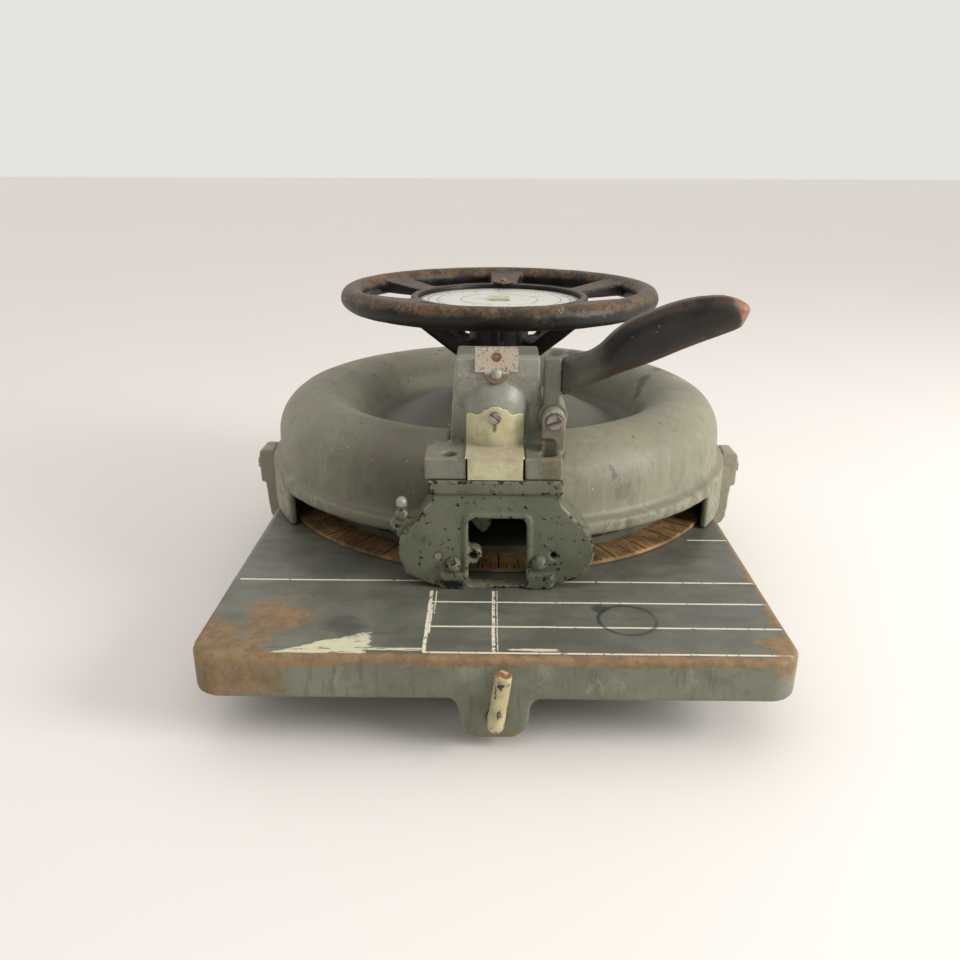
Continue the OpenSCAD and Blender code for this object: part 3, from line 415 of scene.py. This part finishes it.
def housing_finish():
    f = old_paint("housing_paint", rgb(146, 143, 122), rgb(130, 128, 109), rgb(94, 90, 77), 0.46)
    reach = f.away(x=0.0, y=0.0)
    # Brown dust on the parts that face up, and rubbed-down streaks outside
    dust = f.times(f.fade(f.up, 0.25, 0.95), f.patch(f.noise(40 * MM, 5.0, 0.65), 0.45, 0.14))
    f.coat(f.times(dust, 0.5), rgb(130, 122, 104), 0.62)
    streak = f.noise(14 * MM, 5.0, 0.65, f.stretched(1.0, 1.0, 0.16))
    outside = f.fade(reach, SKIRT - OUTSIDE[0] * MM, SKIRT - OUTSIDE[1] * MM)
    f.coat(f.times(outside, f.patch(streak, 0.56, 0.1), 0.4), rgb(172, 170, 146), 0.42)
    f.coat(f.times(outside, f.patch(streak, 0.41, 0.06), 0.3), rgb(116, 112, 96), 0.55)
    # Painted shade in the bowl inside the crest, which the wheel shades
    inside = f.fade(reach, SKIRT - BOWL_SHADE[0] * MM, SKIRT - BOWL_SHADE[1] * MM)
    f.coat(f.times(inside, 0.7), rgb(72, 72, 63), 0.5)
    # Painted shadow of the tower on the housing, to its left, darkest near it
    x, y, z = TOWER_SHADOW_AT
    shade = f.plus(f.away(x=x * MM, y=y * MM, z=DECK + z * MM), f.times(f.noise(50 * MM, 4.0), 30 * MM))
    f.coat(f.times(f.fade(shade, 120 * MM, 20 * MM), 0.7), rgb(76, 70, 57), 0.5)
    # Bead round the foot: paint worn through to grey and rust
    bead = f.times(outside, f.fade(f.z, DECK + (BEAD_TOP + 3) * MM, DECK + BEAD_TOP * MM))
    f.coat(f.times(bead, f.patch(f.noise(12 * MM, 5.0, 0.7), 0.52, 0.06), 0.55), rgb(108, 104, 88), 0.6)
    f.coat(f.times(bead, f.patch(f.noise(6 * MM, 5.0, 0.7), 0.62, 0.03), 0.8), RUST, 0.75)
    # Dark smudges and scrapes
    for x, y, z, size, much in SMUDGES:
        spot = f.plus(f.away(x=x * MM, y=y * MM, z=DECK + z * MM),
                      f.times(f.noise(12 * MM, 5.0, 0.7), size * MM))
        f.coat(f.times(f.fade(spot, size * 1.2 * MM, size * 0.85 * MM), much), rgb(62, 54, 52), 0.4)
    scrape = f.noise(10 * MM, 3.0, 0.5, f.stretched(1.0, 1.0, 0.22))
    f.coat(f.times(f.patch(scrape, 0.69, 0.02), 0.7), rgb(82, 82, 76), 0.5)
    f.coat(f.times(f.patch(f.noise(4.5 * MM, 2.0), 0.735, 0.012), 0.8), rgb(196, 194, 180), 0.5)
    f.coat(f.times(f.edges(0.565, 0.015), 0.7), rgb(158, 154, 132), 0.5)
    f.coat(f.times(f.hollows(0.47, 0.02), 0.5), rgb(86, 84, 74), 0.6)
    return f.done()


def bracket_finish():
    f = old_paint("bracket_paint", rgb(108, 111, 90), rgb(93, 97, 79), rgb(68, 68, 55), 0.38)
    rubbed = f.coat(f.times(f.edges(0.535, 0.03, 8 * MM, 0.06), 0.65), rgb(150, 148, 122), 0.45)
    f.coat(f.times(f.hollows(0.48, 0.02), 0.65), rgb(80, 78, 66), 0.6)
    low = f.fade(f.z, DECK + 22 * MM, DECK + 2 * MM)
    f.coat(f.times(low, f.patch(f.noise(14 * MM, 5.0, 0.7), 0.5, 0.1), 0.5), rgb(96, 88, 68), 0.6)
    gate = f.patch(f.noise(12 * MM, 4.0, 0.7), 0.51, 0.03)
    foot = f.times(f.span(f.x, FOOT_X[0] * MM, FOOT_X[1] * MM, 1 * MM),
                   f.span(f.z, DECK + FOOT_Z[0] * MM, DECK + FOOT_Z[1] * MM, 1 * MM))
    scattered = f.times(f.patch(f.noise(4.5 * MM, 3.0, 0.6, warp=0.5), 0.70, 0.012),
                        f.patch(f.noise(25 * MM, 2.0), 0.52, 0.04))
    # Black chips: the left foot, the edges, and a few scattered over the faces
    for chip, black in ((f.times(foot, f.patch(f.noise(5 * MM, 4.0, 0.7), 0.36, 0.03)), FOOT_BLACK),
                        (f.times(f.edges(0.522, 0.006, 4.5 * MM, 0.2), gate), CHIP_BLACK),
                        (scattered, CHIP_BLACK)):
        f.coat(chip, black, 0.6, lift=-0.3 * MM)
    f.coat(f.times(rubbed, f.patch(f.noise(4 * MM, 4.0), 0.60, 0.04), 0.6), RUST_LIGHT, 0.7)
    # The dust that has settled on the ledges
    dust = f.times(f.fade(f.up, 0.6, 0.95), f.patch(f.noise(20 * MM, 5.0), 0.45, 0.1))
    f.coat(f.times(dust, 0.5), rgb(120, 112, 92), 0.7)
    return f.done()


def tower_finish():
    f = old_paint("tower_paint", rgb(124, 125, 110), rgb(108, 110, 98), rgb(78, 77, 68), 0.34)
    # A painted highlight makes the upper front of the dome over the cover paler, with bright specks in the
    # paint
    dome = f.times(f.fade(f.z, DECK + DOME_LOW * MM, DECK + DOME_HIGH * MM),
                   f.fade(f.y, DOME_Y[0] * MM, DOME_Y[1] * MM))
    specks = f.times(dome, f.patch(f.noise(1.4 * MM, 4.0, 0.75), 0.54, 0.05),
                     f.patch(f.noise(20 * MM, 4.0), 0.47, 0.08))
    f.coat(f.times(dome, 0.5), rgb(158, 156, 146), 0.36)
    f.coat(f.times(specks, 0.6), rgb(176, 174, 164), 0.5)
    f.coat(f.times(f.edges(0.54, 0.02, 6 * MM, 0.06), 0.7), rgb(158, 154, 132), 0.45)
    f.coat(f.times(f.hollows(0.47, 0.02), 0.7), rgb(74, 70, 60), 0.55)
    # Brown dirt on the flange's top, rust along its edges and down the side of the lever's ears
    flange = f.fade(f.z, DECK + (FLANGE_TOP + 4) * MM, DECK + FLANGE_TOP * MM)
    dirt = f.times(flange, f.fade(f.up, 0.5, 0.9), f.patch(f.noise(12 * MM, 5.0, 0.7), 0.42, 0.08))
    f.coat(f.times(dirt, 0.75), rgb(118, 104, 86), 0.65)
    rust = f.times(f.edges(0.53, 0.02, 5 * MM, 0.1), f.patch(f.noise(10 * MM, 4.0), 0.5, 0.05))
    ears = f.fade(f.x, EARS_X * MM, (EARS_X + 6) * MM)
    f.coat(f.times(rust, f.either(flange, ears), 0.7), rgb(146, 116, 86), 0.7)
    side = f.times(f.fade(f.x, (EARS_X - 4) * MM, (EARS_X + 4) * MM),
                   f.fade(f.z, DECK + DOME_HIGH * MM, DECK + 120 * MM))
    f.coat(f.times(side, f.patch(f.noise(9 * MM, 5.0, 0.7), 0.50, 0.08), 0.6), rgb(108, 92, 66), 0.7)
    chip = f.times(f.patch(f.noise(5 * MM, 3.0, 0.6), 0.70, 0.015), f.patch(f.noise(30 * MM, 2.0), 0.5, 0.05))
    f.coat(f.times(chip, 0.9), SOOT, 0.6, lift=-0.2 * MM)
    return f.done()


def lug_finish():
    f = old_paint("lug_paint", rgb(156, 152, 134), rgb(140, 136, 119), rgb(104, 98, 86), 0.46)
    f.coat(f.times(f.edges(0.54, 0.02, 7 * MM, 0.1), 0.75), rgb(152, 148, 128), 0.5)
    # The right lug has more rust than the left one
    right = f.plus(f.times(f.fade(f.x, -100 * MM, 100 * MM), 0.35), 0.1)
    f.coat(f.times(right, f.patch(f.noise(13 * MM, 6.0, 0.7), 0.55, 0.06)), rgb(158, 126, 98), 0.7)
    f.coat(f.times(right, f.patch(f.noise(6 * MM, 5.0, 0.7), 0.6, 0.04)), RUST, 0.75)
    f.chips(6 * MM, -0.02)
    return f.done()


# ---- Handwheel ----

def wheel_finish():
    f = Finish("wheel_paint", rgb(22, 20, 18), 0.42, specular=0.35)
    f.coat(f.patch(f.noise(30 * MM, 5.0, 0.6), 0.52, 0.12), rgb(34, 30, 25), 0.5)
    high = f.fade(f.z, RIM_TOP - RIM_WEAR[0] * MM, RIM_TOP - RIM_WEAR[1] * MM)
    reach = f.away(x=0.0, y=0.0)
    on_rim = f.fade(reach, RIM_INNER * MM, (RIM_INNER + 4) * MM)
    arm_top = f.times(f.fade(f.up, 0.35, 0.85), f.no(on_rim))
    worn = f.either(f.times(high, on_rim), f.times(arm_top, 0.7))
    # Brown bloom over the top of the rim, then bare rust where the paint has gone
    wear = f.plus(f.noise(22 * MM, 8.0, 0.72, warp=0.3), f.times(worn, 0.17))
    f.coat(f.times(f.patch(wear, 0.58, 0.06), worn, 0.9), rgb(84, 68, 48), 0.46)
    rust = f.patch(wear, 0.675, 0.02)
    tint = f.mix(f.patch(f.noise(8 * MM, 5.0, 0.7), 0.5, 0.12), rgb(92, 68, 43), rgb(118, 89, 58))
    f.coat(f.times(rust, f.plus(f.times(worn, 0.8), 0.1)), tint, 0.52, lift=-0.1 * MM)
    f.coat(f.times(worn, f.patch(f.noise(3.5 * MM, 5.0, 0.75), 0.53, 0.03), 0.75), rgb(46, 38, 30), 0.5)
    f.coat(f.times(f.patch(wear, 0.60, 0.02), f.no(worn), 0.4), rgb(82, 66, 48), 0.5)
    # Pale flecks on the worn rim, painted as highlights, and paint flecks
    scuff = f.patch(f.noise(5.5 * MM, 5.0, 0.75, warp=0.8), 0.665, 0.015)
    f.coat(f.times(worn, scuff, 0.9), rgb(186, 178, 164), 0.4)
    f.coat(f.times(f.patch(f.noise(8 * MM, 3.0, 0.7), 0.70, 0.02), 0.5), rgb(112, 102, 88), 0.5)
    f.coat(f.times(arm_top, f.patch(f.noise(20 * MM, 5.0, 0.7), 0.42, 0.1), 0.4), rgb(84, 74, 66), 0.45)
    f.coat(f.times(f.edges(0.555, 0.015), 0.45), rgb(122, 94, 66), 0.5)
    f.grain(1.4 * MM, 0.08 * MM)
    f.grain(6 * MM, 0.3 * MM)
    return f.done()


def grip_finish():
    f = Finish("grip_black", rgb(24, 22, 20), 0.4, specular=0.35)
    f.coat(f.patch(f.noise(30 * MM, 5.0), 0.5, 0.12), rgb(36, 32, 27), 0.48)
    # Brown where a hand has rubbed the top; along the underside an orange painted highlight, paler behind the
    # front face
    top = f.times(f.fade(f.up, 0.2, 0.75), f.patch(f.noise(30 * MM, 5.0, 0.7), 0.44, 0.1))
    f.coat(f.times(top, 0.6), rgb(82, 62, 46), 0.42)
    front = f.fade(f.y, GRIP_FRONT[0] * MM, GRIP_FRONT[1] * MM)
    underside_highlight = f.times(f.fade(f.up, -0.15, -0.6), f.patch(f.noise(20 * MM, 5.0, 0.7), 0.42, 0.1))
    f.coat(f.times(underside_highlight, 0.8), f.mix(front, rgb(176, 128, 84), rgb(60, 44, 34)), 0.45)
    # The reddish tip with its red dot, and the painted root
    ragged = f.times(f.noise(20 * MM, 4.0, 0.6), 14 * MM)
    tip = f.fade(f.plus(f.plus(f.x, f.times(f.z, TIP_LEAN)), ragged), TIP[0] * MM, TIP[1] * MM)
    f.coat(f.times(tip, 0.85), rgb(146, 112, 88), 0.45)
    dot = f.plus(f.away(x=RED_DOT[0] * MM, z=DECK + RED_DOT[1] * MM), f.times(f.noise(4 * MM), 1.5 * MM))
    f.coat(f.fade(dot, (RED_DOT_R + 1) * MM, RED_DOT_R * MM), rgb(156, 38, 28), 0.4)
    f.coat(f.times(f.patch(f.noise(4 * MM, 3.0, 0.6), 0.70, 0.02), 0.6), rgb(112, 100, 82), 0.5)
    root = f.fade(f.plus(f.x, ragged), ROOT[0] * MM, ROOT[1] * MM)
    f.coat(f.times(root, 0.8), f.mix(f.noise(20 * MM, 5.0, 0.7), rgb(52, 50, 43), rgb(84, 83, 71)), 0.42)
    f.coat(f.times(root, f.patch(f.noise(12 * MM, 5.0, 0.7), 0.6, 0.04), 0.6), rgb(84, 70, 52), 0.6)
    f.grain(1.2 * MM, 0.06 * MM)
    f.grain(12 * MM, 0.3 * MM)
    return f.done()


def arm_finish():
    f = old_paint("arm_paint", rgb(118, 118, 101), rgb(98, 98, 84), rgb(62, 60, 50), 0.42)
    f.coat(f.times(f.edges(0.545, 0.02, 6 * MM, 0.1), 0.5), rgb(146, 128, 100), 0.5)
    f.chips(6 * MM, 0.0)
    return f.done()


# ---- Smaller painted and bare pieces ----

def cover_finish():
    f = Finish("cover_cream", rgb(202, 196, 158), 0.34, specular=0.5)
    f.coat(f.patch(f.noise(30 * MM, 5.0, 0.6), 0.5, 0.15), rgb(184, 178, 140), 0.42)
    f.coat(f.times(f.patch(f.noise(5 * MM, 5.0, 0.7), 0.6, 0.04), 0.45), rgb(150, 140, 108), 0.5)
    # Brown along the bend, and a dark run below the screw
    bend = f.span(f.z, DECK + COVER_BEND[0] * MM, DECK + COVER_BEND[1] * MM, 3 * MM)
    f.coat(f.times(bend, f.patch(f.noise(10 * MM, 5.0, 0.7), 0.40, 0.1), 0.7), rgb(172, 160, 140), 0.5)
    f.coat(f.times(f.patch(f.noise(14 * MM, 6.0, 0.75), 0.56, 0.05), 0.4), rgb(160, 148, 112), 0.45)
    stain = f.times(f.stripe(f.x, COVER_STAIN_X * MM, 2.4 * MM, 0.5 * MM),
                    f.span(f.z, DECK + COVER_STAIN[0] * MM, DECK + COVER_STAIN[1] * MM, 2 * MM))
    f.coat(f.times(stain, 0.8), rgb(70, 58, 36), 0.6)
    f.coat(f.edges(0.545, 0.012, 6 * MM, 0.05), rgb(232, 228, 208), 0.3, 0.4)
    f.coat(f.times(f.patch(f.noise(2.6 * MM, 3.0), 0.70, 0.015), 0.8), rgb(96, 82, 56), 0.6)
    f.coat(f.times(f.edges(0.56, 0.012, 3 * MM, 0.16), f.patch(f.noise(10 * MM, 3.0), 0.58, 0.03)), SOOT, 0.5)
    f.grain(1.2 * MM, 0.06 * MM)
    return f.done()


def latch_finish():
    f = Finish("latch_cream", rgb(196, 186, 146), 0.42, specular=0.45)
    f.coat(f.patch(f.noise(12 * MM, 5.0), 0.5, 0.12), rgb(172, 160, 122), 0.5)
    flaked = f.patch(f.noise(5.2 * MM, 4.0, 0.7, f.stretched(1.0, 1.0, 0.6)), 0.60, 0.02)
    f.coat(flaked, rgb(66, 58, 42), 0.65, lift=-0.2 * MM)
    ends = f.either(f.fade(f.up, 0.6, 0.85), f.fade(f.z, DECK - LATCH_END[0] * MM, DECK - LATCH_END[1] * MM))
    f.coat(f.times(ends, f.patch(f.noise(6 * MM, 4.0), 0.42, 0.06)), rgb(128, 92, 62), 0.7)
    f.coat(f.times(f.edges(0.56, 0.02), 0.7), rgb(120, 84, 56), 0.6)
    f.grain(1.6 * MM, 0.1 * MM)
    return f.done()


def stamp_finish():
    f = Finish("stamp_rust", rgb(178, 164, 146), 0.5, specular=0.4)
    f.coat(f.patch(f.noise(2.4 * MM, 4.0, 0.75), 0.50, 0.05), rgb(202, 196, 186), 0.5)
    f.coat(f.patch(f.noise(2.4 * MM, 4.0, 0.75), 0.56, 0.04), rgb(132, 104, 80), 0.7, lift=-0.1 * MM)
    hole = f.away(x=STAMP_HOLE[0] * MM, z=DECK + STAMP_HOLE[1] * MM)
    f.coat(f.fade(f.plus(hole, f.times(f.noise(4 * MM), 2 * MM)), 6 * MM, 4 * MM), rgb(126, 74, 44), 0.8)
    tongue = f.plus(f.z, f.times(f.noise(4 * MM), 4 * MM))
    f.coat(f.fade(tongue, DECK + (STAMP_TONGUE + 3) * MM, DECK + STAMP_TONGUE * MM), rgb(124, 104, 84), 0.7)
    f.coat(f.times(f.edges(0.53, 0.02, 3 * MM, 0.1), 0.8), rgb(112, 74, 48), 0.75)
    f.grain(1.5 * MM, 0.2 * MM)
    return f.done()


def ring_finish():
    f = Finish("ring_rust", rgb(178, 142, 98), 0.6, specular=0.35)
    f.coat(f.patch(f.noise(30 * MM, 5.0, 0.65), 0.5, 0.12), rgb(122, 92, 60), 0.64)
    f.coat(f.patch(f.noise(8 * MM, 5.0, 0.7), 0.58, 0.06), rgb(172, 136, 92), 0.58)
    f.coat(f.times(f.patch(f.noise(4 * MM, 4.0, 0.7), 0.6, 0.05), 0.7), rgb(64, 46, 32), 0.7)
    reach = f.away(x=0.0, y=0.0)
    top = f.fade(f.z, RING_TOP - 0.3 * MM, RING_TOP - 0.1 * MM)
    for step, long, wide in RING_TICKS:
        inner = RING_R - long * MM
        tick = f.times(f.fade(f.times(f.tick_angle(step), RING_R), wide * MM, 0.45 * wide * MM),
                       f.fade(reach, inner - 0.3 * MM, inner + 0.3 * MM))
        f.coat(f.times(tick, top, 0.95), rgb(26, 20, 15), 0.7, lift=-0.3 * MM)
    f.grain(2 * MM, 0.25 * MM)
    return f.done()


def dial_finish():
    f = Finish("dial_silver", rgb(226, 226, 216), 0.3, metal=0.1)
    reach = f.away(x=0.0, y=0.0)
    brushed = f.noise(2 * MM, 4.0, 0.7)
    f.coat(f.times(f.patch(brushed, 0.5, 0.2), 0.5), rgb(184, 184, 174), 0.4)
    cloudy = f.patch(f.noise(20 * MM, 6.0, 0.75, warp=1.0), 0.58, 0.04)
    f.coat(f.times(cloudy, 0.45), rgb(150, 148, 138), 0.45)
    f.coat(f.times(f.patch(f.noise(7 * MM, 5.0, 0.75), 0.62, 0.03), 0.6), rgb(110, 106, 96), 0.5)
    for radius, wide in DIAL_CIRCLES:
        f.coat(f.stripe(reach, radius * MM, wide * MM, 0.45 * wide * MM), DIAL_INK, 0.4)
    for step, inner, outer in DIAL_TICKS:
        tick = f.times(f.fade(f.times(f.tick_angle(step), DIAL_TICK_R * MM), 0.45 * MM, 0.25 * MM),
                       f.span(reach, inner * MM, outer * MM, 0.2 * MM))
        f.coat(tick, DIAL_INK, 0.4)
    f.coat(f.times(f.fade(reach, DIAL_R - 4 * MM, DIAL_R), 0.5), rgb(70, 64, 56), 0.5)
    return f.done()


def metal_finish(name, base, dark, rust, share, roughness=0.35, metal=0.85):
    """Machined metal, dulled and rusted over that share of it."""
    f = Finish(name, base, roughness, metal=metal)
    f.coat(f.patch(f.noise(12 * MM, 5.0), 0.5, 0.15), dark, roughness + 0.1)
    spots = f.patch(f.noise(6 * MM, 5.0, 0.7), 1 - share, 0.06)
    f.coat(spots, rust, 0.75, 0.1, lift=-0.06 * MM)
    f.coat(f.times(f.patch(f.noise(2.4 * MM, 3.0), 0.66, 0.04), 0.6), dark, roughness + 0.2)
    f.grain(0.9 * MM, 0.04 * MM)
    return f.done()


PLATE, HOUSING, BRACKET, TOWER = plate_finish(), housing_finish(), bracket_finish(), tower_finish()
LUG, WHEEL, GRIP, ARM = lug_finish(), wheel_finish(), grip_finish(), arm_finish()
COVER, LATCH, STAMP, RING, DIAL = cover_finish(), latch_finish(), stamp_finish(), ring_finish(), dial_finish()
STEEL = metal_finish("worn_steel", rgb(158, 154, 146), rgb(110, 106, 98), rgb(96, 70, 50), 0.42)
RUSTY = metal_finish("rusty_steel", rgb(128, 112, 96), rgb(96, 78, 62), rgb(112, 74, 46), 0.56, 0.5, 0.6)
BRIGHT = metal_finish("bare_metal", rgb(176, 172, 160), rgb(140, 136, 126), rgb(120, 96, 74), 0.36, 0.5, 0.5)
BRONZE = metal_finish("bronze", rgb(178, 138, 82), rgb(132, 98, 58), rgb(84, 70, 44), 0.38, 0.34)
RUBBER = metal_finish("seal_rubber", rgb(34, 34, 34), rgb(24, 24, 24), rgb(60, 56, 50), 0.34, 0.7, 0.0)

BY_SLOT = {
    "green_paint": PLATE, "housing_paint": HOUSING, "bracket_paint": BRACKET, "lug_paint": LUG,
    "cream_paint": COVER, "latch_paint": LATCH, "wheel_paint": WHEEL, "grip_paint": GRIP,
    "ring_steel": RING, "rusty_plate": STAMP, "rusty_steel": RUSTY, "worn_steel": STEEL,
    "bare_metal": BRIGHT, "bronze": BRONZE, "dial_face": DIAL, "seal_rubber": RUBBER,
}
SLOT_OF = {part["node"]: part["material_slot"] for part in frame["record"]["subparts"]}
BODY_OF = {n: body for body, members in frame["record"]["behaviour"]["bodies"].items() for n in members}

for name, node in frame["nodes"].items():
    node.data.materials.clear()
    node.data.materials.append(BY_SLOT[SLOT_OF[name]])


# ---- Castings: each stands for its CAD node, with rounded edges and slightly uneven faces ----

def weld(mesh):
    """Joins the points that the CAD triangles share."""
    bm = bmesh.new()
    bm.from_mesh(mesh)
    bmesh.ops.remove_doubles(bm, verts=bm.verts, dist=WELD)
    bm.to_mesh(mesh)
    bm.free()


def soften(obj, voxel, rounds, keep):
    """Rebuilds the mesh from cubes of that size, smooths it and keeps that share of its triangles."""
    remesh = obj.modifiers.new("Remesh", "REMESH")
    remesh.mode, remesh.voxel_size, remesh.adaptivity = "VOXEL", voxel, 0.0
    smooth = obj.modifiers.new("Smooth", "SMOOTH")
    smooth.factor, smooth.iterations = 0.5, rounds
    if keep < 1:
        obj.modifiers.new("Decimate", "DECIMATE").ratio = keep
    graph = bpy.context.evaluated_depsgraph_get()
    final = bpy.data.meshes.new_from_object(obj.evaluated_get(graph))
    obj.modifiers.clear()
    obj.data = final
    return final


def settle(mesh, low, high, wave, wave_size):
    """Moves the faces in and out by a gentle wave, and keeps them inside the box from low to high."""
    points = np.empty(len(mesh.vertices) * 3, np.float32)
    mesh.vertices.foreach_get("co", points)
    points = points.reshape(-1, 3)
    if wave:
        normals = np.empty_like(points).ravel()
        mesh.vertices.foreach_get("normal", normals)
        heave = [noise.noise(Vector(p)) for p in points / wave_size]
        points = points + normals.reshape(-1, 3) * (wave * np.array(heave, np.float32))[:, None]
    points = np.clip(points, np.array(low), np.array(high))
    mesh.vertices.foreach_set("co", points.astype(np.float32).ravel())
    mesh.update()


def cast(node, voxel, rounds, keep, wave, wave_size, finish):
    """A copy of a CAD node's mesh with its edges rounded over, inside the node's own box."""
    mesh = frame["nodes"][node].data.copy()
    weld(mesh)
    obj = bpy.data.objects.new(node + "_cast", mesh)
    scene.collection.objects.link(obj)
    final = soften(obj, voxel, rounds, keep)
    low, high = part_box(node)
    settle(final, low, high, wave, wave_size)
    final.polygons.foreach_set("use_smooth", [True] * len(final.polygons))
    final.materials.clear()
    final.materials.append(finish or BY_SLOT[SLOT_OF[node]])
    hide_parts(node)
    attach(obj, BODY_OF[node])


# Node, cube size, rounds of smoothing, share of triangles kept, height and length of the wave, and the
# finish where it isn't the slot's own. Sizes are in millimetres.
WELD = 0.001 * MM
CASTS = (
    ("base_plate", 2.4, 4, 0.32, 0.25, 50, None),
    ("dish_housing", 2.3, 6, 0.5, 0.5, 60, None),
    ("front_bracket", 1.1, 5, 0.5, 0.25, 20, None),
    ("tower", 1.2, 9, 0.5, 0.3, 20, TOWER),
    ("left_side_lug", 1.3, 5, 0.7, 0.25, 20, None),
    ("right_side_lug", 1.3, 5, 0.7, 0.25, 20, None),
    ("handwheel", 1.5, 4, 0.6, 0.3, 20, None),
    ("lever_arm", 1.0, 5, 0.8, 0.2, 15, ARM),
    ("lever_grip", 1.2, 34, 0.7, 0.35, 30, None),
    ("latch_pin", 0.7, 4, 0.7, 0.15, 10, None),
    ("lug_pin", 0.7, 3, 0.7, 0, 30, None),
    ("bracket_studs", 0.6, 4, 0.8, 0.2, 6, BRACKET),
    ("plunger_tooth", 0.8, 4, 0.8, 0.2, 10, None),
    ("tower_cover", 0.5, 2, 0.3, 0.15, 10, None),
    ("stamp_plate", 0.45, 2, 0.5, 0, 30, None),
    ("cover_screw", 0.35, 2, 0.6, 0, 30, STEEL),
    ("stamp_plate_screw", 0.4, 2, 0.8, 0, 30, BRIGHT),
    ("pivot_screw", 0.5, 2, 0.6, 0, 30, None),
    ("barrel_cap", 0.7, 3, 0.8, 0, 30, None),
    ("dial_cap", 0.6, 2, 0.8, 0, 30, COVER),
    ("wheel_pointer", 0.4, 2, 0.8, 0, 30, None),
    ("grip_rivets", 0.5, 2, 0.8, 0, 30, None),
    ("gear_case", 2.2, 3, 0.5, 0.3, 30, None),
    ("rear_feet_plate", 2.0, 3, 0.3, 0, 30, None),
)

for node, voxel, rounds, keep, wave, wave_size, finish in CASTS:
    cast(node, voxel * MM, rounds, keep, wave * MM, wave_size * MM, finish)


# ---- Stage, light and camera: metres, watts and degrees ----

FLOOR_HALF = 30.0
# How bright the room is: in front on the left and on the right, behind the object, and overhead
ROOM_LEFT, ROOM_RIGHT, ROOM_BACK, ROOM_TOP = 0.05, 0.50, 0.86, 1.15
# Lamps as (name, place, aim, size, watts, colour)
LAMPS = (("key", (1.9, -0.9, 1.0), (0, -0.05, 0.1), 1.0, 38, (1.0, 0.985, 0.95)),
         ("fill", (-1.2, -1.5, 1.3), (0, -0.1, 0.1), 1.6, 2, (0.97, 0.985, 1.0)))
# The camera's place, how far it looks down, turns and rolls, and its lens in millimetres
CAMERA_AT = (-0.0078, -0.891, 0.4112)
CAMERA_DOWN, CAMERA_TURN, CAMERA_ROLL = 20.371 * DEGREE, 0.744 * DEGREE, -0.18 * DEGREE
CAMERA_LENS, CAMERA_SENSOR = 31.75, 36.0


def floor():
    f = Finish("floor_white", rgb(236, 231, 227), 0.6, specular=0.1)
    f.coat(f.times(f.patch(f.noise(500 * MM, 3.0), 0.5, 0.2), 0.3), rgb(232, 227, 222))
    mesh = bpy.data.meshes.new("floor")
    corners = [(x * FLOOR_HALF, y * FLOOR_HALF, 0) for x, y in ((-1, -1), (1, -1), (1, 1), (-1, 1))]
    mesh.from_pydata(corners, [], [(0, 1, 2, 3)])
    obj = bpy.data.objects.new("floor", mesh)
    scene.collection.objects.link(obj)
    mesh.materials.append(f.done())


def room():
    """A pale room: even behind the object, dim to the front left, brighter to the front right and above."""
    world = bpy.data.worlds.new("room")
    scene.world = world
    world.use_nodes = True
    tree = world.node_tree

    def ramp(value, *ends):
        node = tree.nodes.new("ShaderNodeMapRange")
        node.interpolation_type = "SMOOTHSTEP"
        tree.links.new(value, node.inputs[0])
        for socket, end in zip(node.inputs[1:], ends):
            if isinstance(end, bpy.types.NodeSocket):
                tree.links.new(end, socket)
            else:
                socket.default_value = end
        return node.outputs[0]

    split = tree.nodes.new("ShaderNodeSeparateXYZ")
    tree.links.new(tree.nodes.new("ShaderNodeTexCoord").outputs["Generated"], split.inputs[0])
    side = ramp(split.outputs[0], -0.8, 0.8, ROOM_LEFT, ROOM_RIGHT)
    low = ramp(split.outputs[1], -0.5, 0.2, side, ROOM_BACK)
    background = tree.nodes["Background"]
    background.inputs[0].default_value = rgb(245, 243, 239)
    tree.links.new(ramp(split.outputs[2], 0.3, 0.95, low, ROOM_TOP), background.inputs[1])


def lamps():
    for name, place, aim, size, watts, colour in LAMPS:
        lamp = bpy.data.lights.new(name, "AREA")
        lamp.shape, lamp.size, lamp.energy, lamp.color = "DISK", size, watts, colour
        obj = bpy.data.objects.new(name, lamp)
        obj.location = place
        obj.rotation_euler = (Vector(aim) - Vector(place)).to_track_quat("-Z", "Y").to_euler()
        scene.collection.objects.link(obj)


def camera():
    """The camera at the photograph's angle: turned round Z, tipped down and rolled round its own line."""
    turn = Matrix.Rotation(CAMERA_TURN, 3, "Z")
    ahead = turn @ Vector((0, math.cos(CAMERA_DOWN), -math.sin(CAMERA_DOWN)))
    down = turn @ Vector((0, -math.sin(CAMERA_DOWN), -math.cos(CAMERA_DOWN)))
    right = turn @ Vector((1, 0, 0))
    cos_roll, sin_roll = math.cos(CAMERA_ROLL), math.sin(CAMERA_ROLL)
    right, down = cos_roll * right + sin_roll * down, -sin_roll * right + cos_roll * down
    obj = bpy.data.objects.new("camera", bpy.data.cameras.new("camera"))
    obj.data.lens, obj.data.sensor_width = CAMERA_LENS, CAMERA_SENSOR
    obj.matrix_world = Matrix.Translation(CAMERA_AT) @ Matrix((right, -down, -ahead)).transposed().to_4x4()
    scene.collection.objects.link(obj)
    scene.camera = obj


floor()
room()
lamps()
camera()
scene.view_settings.view_transform = "Standard"
